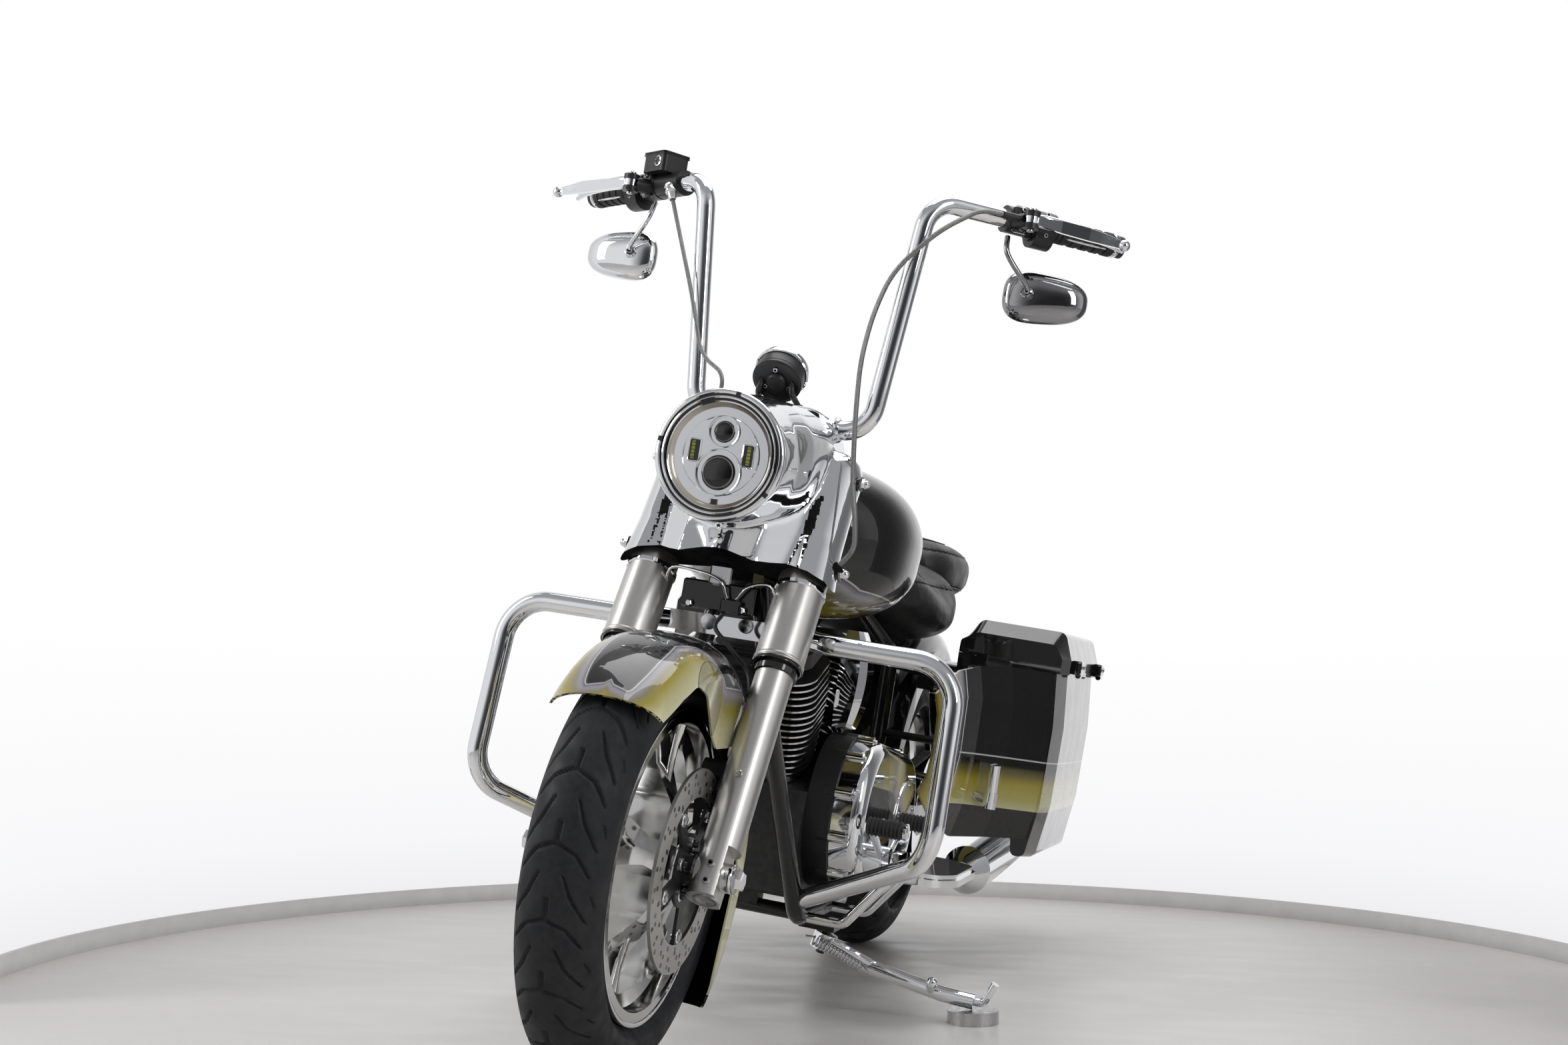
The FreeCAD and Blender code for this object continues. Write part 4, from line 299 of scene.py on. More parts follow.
def braid(name):
    s = Shader(name)
    wave = s.add("TexWave", wave_type="BANDS", bands_direction="Z", Scale=260, Distortion=6)
    s.feed(wave.inputs["Vector"], s.object_coords())
    s.set(Base_Color=s.ramp(wave.outputs["Fac"], [(0.1, (0.10, 0.10, 0.10)), (0.8, (0.34, 0.34, 0.33))]),
          Metallic=0.85, Roughness=0.34)
    s.bump(wave.outputs["Fac"], 0.5, 0.0006)
    return s.material


def glass(name, colour, rough=0.02):
    s = Shader(name)
    s.set(Base_Color=colour, Transmission_Weight=1.0, IOR=1.48, Roughness=s.cloud(50, rough, rough + 0.02))
    return s.material


GOLD = (0.30, 0.245, 0.030)
OLIVE = (0.115, 0.098, 0.018)
CREAM = (0.60, 0.575, 0.38)
LILAC = (0.27, 0.26, 0.29)
BLACK = (0.0045, 0.0045, 0.005)
PINSTRIPE = (0.42, 0.42, 0.41)


def gloss(s, colour):
    """Clear-coated paint with a faint fine speckle over the given colour."""
    flake = s.noise(2600, 1.0)
    s.set(Base_Color=s.mix(s.math("MULTIPLY", flake, 0.10), colour, (0.02, 0.02, 0.02)),
          Coat_Weight=1.0, Coat_Roughness=0.02, Specular_IOR_Level=0.12, Roughness=s.cloud(14, 0.22, 0.32))
    return s.material


def curve_of(s, value, low, high, stops):
    """A height that follows a value through the given stops, in metres."""
    place = s.span(value, low, high, smooth=False)
    return s.ramp(place, [((at_value - low) / (high - low), (height,) * 3) for at_value, height in stops])


def stripe(s, distance, width):
    """One over a thin line where the distance is near zero."""
    return s.math("LESS_THAN", s.math("ABSOLUTE", distance), width / 2)


def fender_paint():
    """Black crown, a bracket-shaped pinstripe and a fade through gold to cream along the lower edge."""
    s = Shader("front_fender_paint")
    x, y, z = s.axes()
    hem = curve_of(s, y, -0.24, 0.26, [
        (-0.214, 0.530), (-0.150, 0.562), (-0.09, 0.586), (-0.05, 0.574), (0.0, 0.520), (0.03, 0.498),
        (0.118, 0.494), (0.19, 0.42), (0.246, 0.30)])
    across = s.math("ABSOLUTE", x)
    flank = s.math("ADD", s.math("SUBTRACT", z, hem), s.math("MULTIPLY_ADD", across, -0.8, 0.076))
    turn = s.math("ARCTAN2", s.math("MULTIPLY", y, -1.0), s.math("SUBTRACT", z, AXLE / 1000))
    crown = s.math("MULTIPLY_ADD", turn, -0.352, 0.286)
    bracket = curve_of(s, across, 0.0, 0.1, [(0.0, 0.050), (0.007, 0.040), (0.030, 0.033), (0.06, 0.035)])
    level = s.math("MINIMUM", s.math("SUBTRACT", crown, bracket), s.math("SUBTRACT", flank, 0.092))
    low = s.ramp(s.span(level, -0.085, 0.0, smooth=False), [
        (0.0, CREAM), (0.30, (0.47, 0.44, 0.24)), (0.62, GOLD), (0.78, (0.21, 0.19, 0.10)), (0.9, LILAC),
        (1.0, (0.16, 0.155, 0.17))])
    tip = s.span(s.math("ADD", z, s.math("MULTIPLY", across, -0.2)), 0.546, 0.512)
    tip = s.math("MULTIPLY", tip, s.math("LESS_THAN", y, -0.06))
    low = s.mix(s.math("MULTIPLY", tip, 0.8), low, CREAM)
    kidney = s.math("SUBTRACT", s.vector("DISTANCE", s.combine(y, z, 0), (-0.045, 0.560, 0)), 0.062)
    side = s.math("GREATER_THAN", across, 0.058)
    shade = s.math("MULTIPLY", s.math("MULTIPLY", s.math("LESS_THAN", kidney, 0.0), side), 0.55)
    low = s.mix(shade, low, OLIVE)
    low = s.mix(s.math("MULTIPLY", stripe(s, kidney, 0.0016), side), low, (0.05, 0.045, 0.02))
    colour = s.mix(s.span(level, -0.006, 0.006), low, BLACK)
    colour = s.mix(stripe(s, level, 0.0022), colour, PINSTRIPE)
    # Painted shade: the fender's wheel side, between fender and tyre, is painted near-black.
    return gloss(s, s.mix(wheel_side_painted_shade(s, y, z), colour, (0.006, 0.006, 0.006)))


def wheel_side_painted_shade(s, y, z):
    """One on the fender's wheel side, which is painted near-black as painted shade: there the surface looks
    at the tyre's ring.
    """
    radial = s.vector("NORMALIZE", s.combine(0, y, s.math("SUBTRACT", z, AXLE / 1000)))
    core = s.vector("ADD", s.vector("SCALE", radial, 0.285), (0, 0, AXLE / 1000))
    away = s.vector("SUBTRACT", s.upright(), core)
    turned = s.add("VectorRotate", rotation_type="Y_AXIS", Angle=-LEAN)
    s.feed(turned.inputs["Vector"], s.add("TexCoord").outputs["Normal"])
    return s.math("LESS_THAN", s.vector("DOT_PRODUCT", away, turned.outputs[0]), 0.0)


def band_paint(name, top, bottom, wing=None):
    """Black with a pinstripe and a gold band that brightens downwards and ends sharply."""
    s = Shader(name)
    y, z = s.axes()[1:]
    sag = s.math("MULTIPLY", s.math("SUBTRACT", y, 1.2), -0.02)
    height = s.math("SUBTRACT", z, sag)
    band = s.ramp(s.span(height, bottom, top, smooth=False), [
        (0.0, (0.44, 0.42, 0.25)), (0.18, (0.36, 0.33, 0.10)), (0.5, GOLD), (0.68, OLIVE), (0.86, BLACK)])
    inside = s.math("MULTIPLY", s.math("GREATER_THAN", height, bottom), s.math("LESS_THAN", height, top))
    colour = s.mix(inside, BLACK, band)
    colour = s.mix(stripe(s, s.math("SUBTRACT", height, top), 0.003), colour, PINSTRIPE)
    if wing:
        start, end = wing
        fade = s.ramp(s.span(y, start, end, smooth=False), [
            (0.0, OLIVE), (0.2, GOLD), (0.55, (0.40, 0.36, 0.17)), (0.82, LILAC), (1.0, BLACK)])
        colour = s.mix(s.math("LESS_THAN", y, end), colour, fade)
        colour = s.mix(stripe(s, s.math("SUBTRACT", y, end + 0.004), 0.003), colour, PINSTRIPE)
    return gloss(s, colour)


def tank_paint():
    """Black with a gold belly under a thin line."""
    s = Shader("tank_paint")
    y, z = s.axes()[1:]
    line = curve_of(s, y, 0.40, 1.0, [(0.44, 0.80), (0.52, 0.765), (0.70, 0.752), (0.85, 0.79), (0.96, 0.85)])
    level = s.math("SUBTRACT", z, line)
    belly = s.ramp(s.span(level, -0.07, 0.0, smooth=False), [
        (0.0, (0.42, 0.40, 0.22)), (0.35, GOLD), (0.6, OLIVE), (0.85, LILAC), (1.0, (0.03, 0.03, 0.03))])
    colour = s.mix(s.span(level, -0.004, 0.004), belly, BLACK)
    colour = s.mix(stripe(s, level, 0.0025), colour, PINSTRIPE)
    return gloss(s, colour)


def disc_steel():
    """A turned steel ring on a black spider."""
    s = Shader("disc_steel")
    y, z = s.axes()[1:]
    radius = s.vector("DISTANCE", s.combine(y, z, 0), (0, AXLE / 1000, 0))
    turned = s.math("GREATER_THAN", radius, 0.1062)
    grooves = s.math("FRACT", s.math("MULTIPLY", radius, 1400))
    s.set(Base_Color=s.mix(turned, (0.012, 0.012, 0.013), (0.56, 0.55, 0.53)), Metallic=turned,
          Roughness=s.span(grooves, 0.0, 1.0, 0.34, 0.42, smooth=False))
    return s.material


def painted_reflection_bowl():
    """The lamp's bowl, with a painted reflection: bright on its right and warm on its left."""
    s = Shader("painted_reflection_bowl")
    x = s.axes()[0]
    # Painted reflection: pale cream on the bowl's right fading to dark brown on its left.
    s.set(Base_Color=s.ramp(s.span(x, -0.085, 0.085, smooth=False), [
        (0.0, (0.50, 0.47, 0.40)), (0.42, (0.33, 0.30, 0.24)), (0.62, (0.12, 0.095, 0.07)),
        (0.85, (0.055, 0.040, 0.028)), (1.0, (0.15, 0.125, 0.095))]),
          Metallic=0.1, Roughness=0.16, Coat_Weight=0.8)
    return s.material


def shade_black():
    """A dull black for faces that look away from every light."""
    s = Shader("shade_black")
    s.set(Base_Color=s.ramp(s.noise(70, 3.0), [(0.3, (0.006, 0.006, 0.006)), (0.7, (0.012, 0.012, 0.012))]),
          Roughness=0.9, Specular_IOR_Level=0.08)
    return s.material


def primary_finish():
    """A black inner half and a chromed outer cover."""
    s = Shader("primary_finish")
    bright = s.math("GREATER_THAN", s.axes()[0], 0.1508)
    s.set(Base_Color=s.mix(bright, (0.010, 0.010, 0.011), (0.83, 0.84, 0.86)), Metallic=bright,
          Roughness=s.math("ADD", s.math("MULTIPLY_ADD", bright, -0.36, 0.40), s.cloud(30, 0.0, 0.03)))
    return s.material


def tail_finish():
    """Red glass above, a bare pale plate behind and a black stay between them."""
    s = Shader("tail_finish")
    y, z = s.axes()[1:]
    glass_part = s.math("GREATER_THAN", z, 0.5585)
    plate = s.math("GREATER_THAN", y, 2.0255)
    colour = s.mix(glass_part, s.mix(plate, (0.010, 0.010, 0.011), (0.42, 0.42, 0.41)), (0.30, 0.006, 0.006))
    s.set(Base_Color=colour, Coat_Weight=s.math("MULTIPLY_ADD", glass_part, 0.8, 0.2), Coat_Roughness=0.03,
          Roughness=s.cloud(14, 0.22, 0.34), Specular_IOR_Level=0.3)
    return s.material


MATERIALS = {
    "black_paint": paint("black_paint", (0.0045, 0.0045, 0.005)),
    "frame_paint": paint("frame_paint", (0.006, 0.006, 0.0065), 0.3, 0.8, 0.05),
    "engine_black": wrinkle_black(),
    "chrome": metal("chrome", (0.83, 0.84, 0.86), 0.045, 0.02, 30),
    "satin_alloy": metal("satin_alloy", (0.60, 0.59, 0.575), 0.34, 0.02, 60),
    "cast_alloy": metal("cast_alloy", (0.74, 0.74, 0.73), 0.11, 0.02, 60),
    "steel": metal("steel", (0.52, 0.52, 0.53), 0.24, 0.06, 90, 0.08),
    "tyre": tyre_rubber(),
    "rubber": grained("rubber", (0.020, 0.020, 0.021), 0.6, 1400, 0.1),
    "seat_cover": grained("seat_cover", (0.017, 0.017, 0.018), 0.42, 750, 0.35),
    "cable_braid": braid("cable_braid"),
    "lens": glass("lens", (0.96, 0.97, 0.95)),
    "red_lens": paint("red_lens", (0.30, 0.006, 0.006), 0.12, 1.0, 0.01),
    "black_plastic": grained("black_plastic", (0.014, 0.014, 0.015), 0.38, 2000, 0.08),
    "shade_black": shade_black(),
    "bare_alloy": metal("bare_alloy", (0.58, 0.57, 0.55), 0.35, 0.02, 40),
    # The lamp's bowl, its reflection painted into its colour.
    "painted_reflection_bowl": painted_reflection_bowl(),
    "reflector_disc": paint("reflector_disc", (0.15, 0.147, 0.14), 0.3, 1.0, 0.01),
    # Painted shade: a darker copy of the chrome, for the left mirror's housing.
    "chrome_painted_shade": metal("chrome_painted_shade", (0.34, 0.34, 0.35), 0.06, 0.02, 30),
    "mirror": metal("mirror", (0.80, 0.77, 0.72), 0.035, 0.01, 40),
    "dark_glass": paint("dark_glass", (0.006, 0.006, 0.007), 0.08, 1.0, 0.0),
    "olive": paint("olive", (0.22, 0.23, 0.03), 0.4, 0.4, 0.0),
    "gloss_black": paint("gloss_black", (0.006, 0.006, 0.0065), 0.15, 1.0, 0.0),
    "fender_paint": fender_paint(),
    "bag_paint": band_paint("bag_paint", 0.490, 0.388),
    "cover_paint": band_paint("cover_paint", 0.490, 0.388, (1.0, 1.075)),
    "tank_paint": tank_paint(),
    "disc_steel": disc_steel(),
}


def dress(node, material):
    thing = NODES[node]
    thing.data.materials.clear()
    thing.data.materials.append(material)


def dress_nodes():
    for part in frame["record"]["subparts"]:
        dress(part["node"], MATERIALS[part["material_slot"]])
    for node, slot in (
        ("front_fender", "fender_paint"), ("saddlebag_left", "bag_paint"), ("saddlebag_right", "bag_paint"),
        ("side_cover_left", "cover_paint"), ("side_cover_right", "cover_paint"), ("fuel_tank", "tank_paint"),
        ("front_disc", "disc_steel"), ("fork_covers", "bare_alloy"), ("fork_legs", "bare_alloy"),
        ("triple_clamps", "shade_black"),
    ):
        dress(node, MATERIALS[slot])
    dress("primary_cover", primary_finish())
    dress("tail_lamp", tail_finish())
    dress("cylinder_front", fin_black(math.radians(22.5)))
    dress("cylinder_rear", fin_black(math.radians(-22.5)))


# Shapes


def mesh_object(name, points, faces, material, body=None):
    data = bpy.data.meshes.new(name)
    data.from_pydata([tuple(point) for point in points], [], faces)
    data.update()
    data.shade_smooth()
    data.materials.append(material)
    thing = bpy.data.objects.new(name, data)
    bpy.context.scene.collection.objects.link(thing)
    if body:
        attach(thing, body)
    return thing


def reshape(data, change):
    """Runs one change on a mesh in its editing form."""
    mesh = bmesh.new()
    mesh.from_mesh(data)
    change(mesh)
    mesh.to_mesh(data)
    mesh.free()


def outward(mesh):
    bmesh.ops.recalc_face_normals(mesh, faces=mesh.faces)


def welded(mesh):
    bmesh.ops.remove_doubles(mesh, verts=mesh.verts, dist=0.00001)
    outward(mesh)


def modify(thing, kind, **values):
    modifier = thing.modifiers.new(kind.lower(), kind)
    for key, value in values.items():
        setattr(modifier, key, value)
    return modifier


def vec(*values):
    return Vector(values)


def fork_point(across, along, behind=0.0):
    """A point by the fork's own directions, in the upright machine's millimetres."""
    return vec(across, along * RAKE_SIN + behind * RAKE_COS, AXLE + along * RAKE_COS - behind * RAKE_SIN)


SIDE = vec(1, 0, 0)
FORK = vec(0, RAKE_SIN, RAKE_COS)
FORK_FRONT = vec(0, -RAKE_COS, RAKE_SIN)
BAR_END = vec(481, 629, 1420)
BAR_RUN = (BAR_END - vec(196, 410, 1420)).normalized()
BAR_AHEAD = vec(BAR_RUN.y, -BAR_RUN.x, 0)


def bar_point(inward, forward=0.0, rise=0.0):
    return BAR_END - BAR_RUN * inward + BAR_AHEAD * forward + vec(0, 0, rise)


def flip(point):
    return vec(-point.x, point.y, point.z)


def circle(steps):
    """Angles spread evenly round a circle."""
    return [math.radians(360 * index / steps) for index in range(steps)]


def ring(centre, side, over, radius, steps):
    """Points round a circle that the two directions span."""
    return [centre + (side * math.cos(turn) + over * math.sin(turn)) * radius for turn in circle(steps)]


def squared(value, power):
    """A cosine or sine pushed out towards a square's side."""
    return math.copysign(abs(value) ** (2 / power), value)


def smooth_path(points, cuts):
    """Points on a curve that passes through every given point."""
    points = [Vector(point) for point in points]
    ends = [points[0] * 2 - points[1]] + points + [points[-1] * 2 - points[-2]]
    path = []
    for index in range(len(points) - 1):
        a, b, c, d = ends[index:index + 4]
        for cut in range(cuts):
            u = cut / cuts
            path.append(0.5 * (2 * b + (c - a) * u + (2 * a - 5 * b + 4 * c - d) * u * u
                               + (3 * b - a - 3 * c + d) * u * u * u))
    return path + [points[-1]]


class Heap:
    """Many small shapes of one piece, given in the upright machine's millimetres."""

    def __init__(self, name, body, *slots):
        self.name = name
        self.body = body
        self.materials = [MATERIALS[slot] for slot in slots]
        self.points = []
        self.faces = []
        self.slots = []

    def skin(self, rings, slot=0, capped=True):
        """A skin over rings of equally many points."""
        count = len(rings[0])
        start = len(self.points)
        self.points += [at(*point) for points in rings for point in points]
        faces = []
        for low in range(start, start + (len(rings) - 1) * count, count):
            for index in range(count):
                after = (index + 1) % count
                faces.append((low + index, low + after, low + count + after, low + count + index))
        if capped:
            last = start + (len(rings) - 1) * count
            faces += [tuple(reversed(range(start, start + count))), tuple(range(last, last + count))]
        self.faces += faces
        self.slots += [slot] * len(faces)

    def lathe(self, base, axis, profile, slot=0, steps=32):
        """A turned shape whose profile holds (radius, height along the axis) pairs."""
        axis = Vector(axis).normalized()
        side = axis.orthogonal().normalized()
        over = axis.cross(side)
        self.skin([ring(base + axis * height, side, over, max(radius, 0.05), steps)
                   for radius, height in profile], slot, False)

    def tube(self, points, radius, slot=0, steps=12, cuts=5):
        """A round bar along a smooth path; the radius may be a list with one value for each point."""
        radii = radius if isinstance(radius, list) else [radius] * len(points)
        path = smooth_path(points, cuts) if cuts else points
        count = len(path)
        rings = []
        for index, point in enumerate(path):
            ahead = (path[min(index + 1, count - 1)] - path[max(index - 1, 0)]).normalized()
            normal = (ahead.orthogonal() if index == 0 else normal - ahead * normal.dot(ahead)).normalized()
            place = index / (count - 1) * (len(radii) - 1)
            low = min(int(place), len(radii) - 2)
            thick = radii[low] + (radii[low + 1] - radii[low]) * (place - low)
            rings.append(ring(point, normal, ahead.cross(normal), thick, steps))
        self.skin(rings, slot)

    def block(self, centre, size, slot=0, bevel=1.0, axes=None):
        """A box with bevelled rims, along the machine's axes or the given ones."""
        axes = axes or (vec(1, 0, 0), vec(0, 1, 0), vec(0, 0, 1))
        half_x, half_y, half_z = (value / 2 for value in size)
        rings = []
        for height, inset in ((-half_z, bevel), (bevel - half_z, 0), (half_z - bevel, 0), (half_z, bevel)):
            x, y = half_x - inset, half_y - inset
            cut = min(bevel, x * 0.5, y * 0.5)
            corners = [(x, y - cut), (x - cut, y), (cut - x, y), (-x, y - cut), (-x, cut - y), (cut - x, -y),
                       (x - cut, -y), (x, cut - y)]
            rings.append([centre + axes[0] * a + axes[1] * b + axes[2] * height for a, b in corners])
        self.skin(rings, slot)

    def hex_bolt(self, base, axis, width, height, slot, washer):
        """A bolt's head on a washer."""
        reach = width * 0.11
        self.lathe(base, axis, [(width * 0.3, 0), (width * 0.78, 0), (width * 0.78, reach * 0.7),
                                (width * 0.72, reach), (width * 0.3, reach)], washer, 24)
        top = reach + height
        self.lathe(base, axis, [(width * 0.577, reach), (width * 0.577, top - width * 0.07),
                                (width * 0.48, top), (0, top)], slot, 6)

    def cap_bolt(self, base, axis, radius, height, slot, socket):
        """A round-headed screw with a hexagonal socket."""
        self.lathe(base, axis, [(radius, 0), (radius, height * 0.75), (radius * 0.86, height),
                                (radius * 0.55, height)], slot, 20)
        self.lathe(base, axis, [(radius * 0.55, height), (radius * 0.5, height * 0.35), (0, height * 0.35)],
                   socket, 6)

    def dome_nut(self, base, axis, width, slot, washer):
        low = width * 0.1
        self.lathe(base, axis, [(width * 0.8, 0), (width * 0.8, low), (0, low)], washer, 24)
        self.lathe(base, axis, [(width * 0.577, low), (width * 0.577, width * 0.5),
                                (width * 0.5, width * 0.56)], slot, 6)
        self.lathe(base, axis, [(width * 0.46, width * 0.5), (width * 0.44, width * 0.72),
                                (width * 0.32, width * 0.92), (width * 0.15, width), (0, width * 1.02)],
                   slot, 16)

    def build(self, angle=34.0, replaces=(), slot="chrome"):
        data = bpy.data.meshes.new(self.name)
        data.from_pydata([tuple(point) for point in self.points], [], self.faces)
        for material in self.materials:
            data.materials.append(material)
        data.polygons.foreach_set("material_index", self.slots)
        reshape(data, welded)
        data.shade_smooth()
        data.set_sharp_from_angle(angle=math.radians(angle))
        thing = bpy.data.objects.new(self.name, data)
        bpy.context.scene.collection.objects.link(thing)
        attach(thing, self.body)
        if replaces:
            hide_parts(*replaces)
        return thing


# Tyres


TYRE_RADIUS = AXLE / 1000
TREAD_DEPTH = 0.0045
RIB_HEIGHT = 0.0009
TREAD_STROKES = (
    ((0, -26), (0, 2), 3.0, 2.4), ((0, 0), (30, 13), 2.4, 2.2), ((30, 13), (53, 40), 2.2, 1.4),
    ((17, -60), (31, -30), 1.3, 2.2), ((31, -30), (57, 4), 2.2, 1.5), ((60, -34), (68, -18), 0.8, 1.2))


def tyre_profile(width, crown_radius, rim_width):
    """Half of a tyre's outline as (distance across, radius) pairs from the crown to the bead."""
    centre = TYRE_RADIUS - crown_radius
    end = Vector((rim_width / 2 - 0.0073, 0.230))
    reach = math.asin(min(width / 2 / crown_radius, 1.0)) * 0.90
    points = []
    for step in range(41):
        angle = reach * step / 40
        points.append((crown_radius * math.sin(angle), centre + crown_radius * math.cos(angle)))
    start = Vector(points[-1])
    mid = start + Vector((math.cos(reach), -math.sin(reach))) * 0.030
    low = end + Vector((0.010, 0.016))
    for step in range(1, 17):
        u = step / 16
        point = start * (1 - u) ** 3 + mid * 3 * u * (1 - u) ** 2 + low * 3 * u * u * (1 - u) + end * u ** 3
        points.append((point.x, point.y))
    return points


def groove_depth(lateral, along, pitch, scale):
    """How deep the tread is cut at each point of the tyre's unrolled surface, in metres."""
    depth = numpy.zeros_like(lateral)
    a = numpy.abs(lateral) * 1000 / scale
    for shift in (-1, 0, 1):
        local = numpy.mod(along * 1000, pitch * 1000) + shift * pitch * 1000 - pitch * 500
        for (ax, ay), (bx, by), first, last in TREAD_STROKES:
            run_x, run_y = bx - ax, by - ay
            place = ((a - ax) * run_x + (local - ay) * run_y) / (run_x * run_x + run_y * run_y)
            place = numpy.clip(place, 0, 1)
            gap = numpy.hypot(a - ax - run_x * place, local - ay - run_y * place)
            wide = first + (last - first) * place
            cut = numpy.clip((wide - gap) / 1.1 + 0.5, 0, 1)
            depth = numpy.maximum(depth, cut * cut * (3 - 2 * cut))
    return depth * TREAD_DEPTH


def tyre_skin(node, body, centre, width, crown_radius, rim_width, repeats, steps, scale):
    """A tyre whose tread is cut into the rings of its outline."""
    half = tyre_profile(width, crown_radius, rim_width)
    outline = [(-x, r) for x, r in reversed(half[1:])] + half
    rows = len(outline)
    lateral = numpy.array([x for x, _ in outline])
    radius = numpy.array([r for _, r in outline])
    lengths = numpy.hypot(numpy.diff(lateral), numpy.diff(radius))
    unrolled = numpy.concatenate([[0], numpy.cumsum(lengths)])
    unrolled -= unrolled[rows // 2]
    slope_x, slope_r = numpy.gradient(lateral), numpy.gradient(radius)
    size = numpy.hypot(slope_x, slope_r)
    turn = numpy.linspace(0, 2 * math.pi, steps, endpoint=False)
    depth = groove_depth(numpy.repeat(unrolled[None, :], steps, axis=0),
                         numpy.repeat((turn * TYRE_RADIUS)[:, None], rows, axis=1),
                         2 * math.pi * TYRE_RADIUS / repeats, scale)
    depth = depth + (RIB_HEIGHT * (numpy.abs(numpy.abs(unrolled) - (unrolled[-1] - 0.030)) < 0.0018))[None, :]
    x = lateral[None, :] + (slope_r / size)[None, :] * depth
    r = radius[None, :] - (slope_x / size)[None, :] * depth
    y = -r * numpy.sin(turn)[:, None]
    z = r * numpy.cos(turn)[:, None]
    points = numpy.stack(leaned(x * 1000 + centre[0], y * 1000 + centre[1], z * 1000 + centre[2]), axis=-1)
    near = numpy.arange(steps)[:, None] * rows + numpy.arange(rows - 1)[None, :]
    far = (numpy.arange(steps)[:, None] + 1) % steps * rows + numpy.arange(rows - 1)[None, :]
    faces = numpy.stack([near, near + 1, far + 1, far], axis=-1).reshape(-1, 4)
    skin = mesh_object(node + "_tread", points.reshape(-1, 3).tolist(), faces.tolist(),
                       MATERIALS["tyre"], body)
    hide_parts(node)


def build_tyres():
    tyre_skin("front_tyre", "front_wheel", (0, 0, AXLE), 0.130, 0.060, 0.096, 20, 880, 1.0)
    tyre_skin("rear_tyre", "rear_wheel", (0, 1625, 320.36), 0.180, 0.090, 0.140, 18, 620, 1.35)


# Headlamp and gauge


def build_headlamp():
    """Chromed rings round a bowl with two projector lenses and two upright light bars."""
    lamp = Heap("headlamp_assembly", "steering", "chrome", "gloss_black", "painted_reflection_bowl", "reflector_disc",
                "dark_glass", "olive")
    centre = vec(0, 100, 928)
    facing = vec(0, -1, 0)
    for slot, steps, profile in (
        (0, 96, [(99, -14), (102.6, -12.5), (103, -8), (102.2, -3.5), (99.5, -0.6), (96.5, -0.1),
                 (94.6, -1.6), (94.2, -5)]),
        (1, 96, [(94.2, -5), (91.2, -5)]),
        (0, 96, [(91.2, -5), (90.8, -1.0), (89.2, -0.2), (87.4, -1.6), (87, -6)]),
        (1, 96, [(87, -6), (83.8, -7)]),
        (0, 96, [(83.8, -7), (83.4, -4.2), (82.4, -3.6), (81.4, -4.4), (81, -9)]),
        (2, 96, [(81, -8), (78, -12), (70, -17), (62.5, -20)]),
        (0, 96, [(62.5, -20), (61.8, -13.6), (60.6, -13), (59.6, -13.8), (59.2, -16)]),
        (3, 72, [(59.2, -15), (40, -16), (0, -17)]),
    ):
        lamp.lathe(centre, facing, profile, slot, steps)
    for rise, radius in ((37, 23.0), (-26, 34.5)):
        spot = centre + vec(0, 0, rise)
        lens = radius - 4
        dome = [(lens * math.cos(math.radians(turn)), -18 + 9 * math.sin(math.radians(turn)))
                for turn in range(15, 91, 15)]
        lamp.lathe(spot, facing, [(radius + 2.4, -16.5), (radius + 2.0, -11.6), (radius + 0.8, -10.8),
                                  (radius - 0.6, -11.6), (radius - 1.2, -16)], 0, 64)
        lamp.lathe(spot, facing, [(radius - 1, -14.5), (radius - 3.4, -16.5), (lens, -19)], 1, 64)
        lamp.lathe(spot, facing, [(lens, -18)] + dome, 4, 48)
        # Painted highlight: a grey ring laid just over each lens.
        lamp.lathe(spot, facing, [(lens * 0.80, -11.9), (lens * 0.77, -11.3), (lens * 0.74, -11.5)], 3, 48)
    for sign in (1, -1):
        spot = centre + vec(sign * 43, 13, 4)
        lamp.block(spot + vec(0, 2, 0), (20, 6, 38), 0, 2.5)
        lamp.block(spot + vec(0, -0.4, 0), (16, 4, 33), 1, 1.5)
        lamp.block(spot + vec(sign * 1.5, -2.4, 0), (5.5, 1.4, 28), 5, 0.4)
        for index in range(5):
            lamp.block(spot + vec(sign * 1.5, -2.9, -11.2 + index * 5.6), (6.5, 1.0, 1.0), 1, 0.3)
    lamp.block(centre + vec(0, 15.5, -71), (15, 3.0, 12), 0, 1.0)
    lamp.block(centre + vec(0, 14.4, -71), (11, 1.6, 9), 1, 0.6)
    for turn in (80, 172, -32):
        out = vec(math.cos(math.radians(turn)), 0, math.sin(math.radians(turn)))
        lamp.block(centre + out * 97.2 + vec(0, 1.6, 0), (7, 3.0, 9), 1, 0.8,
                   (out, vec(0, 1, 0), out.cross(vec(0, 1, 0))))
    lamp.build(40, ("headlamp_bezel", "headlamp_unit"))


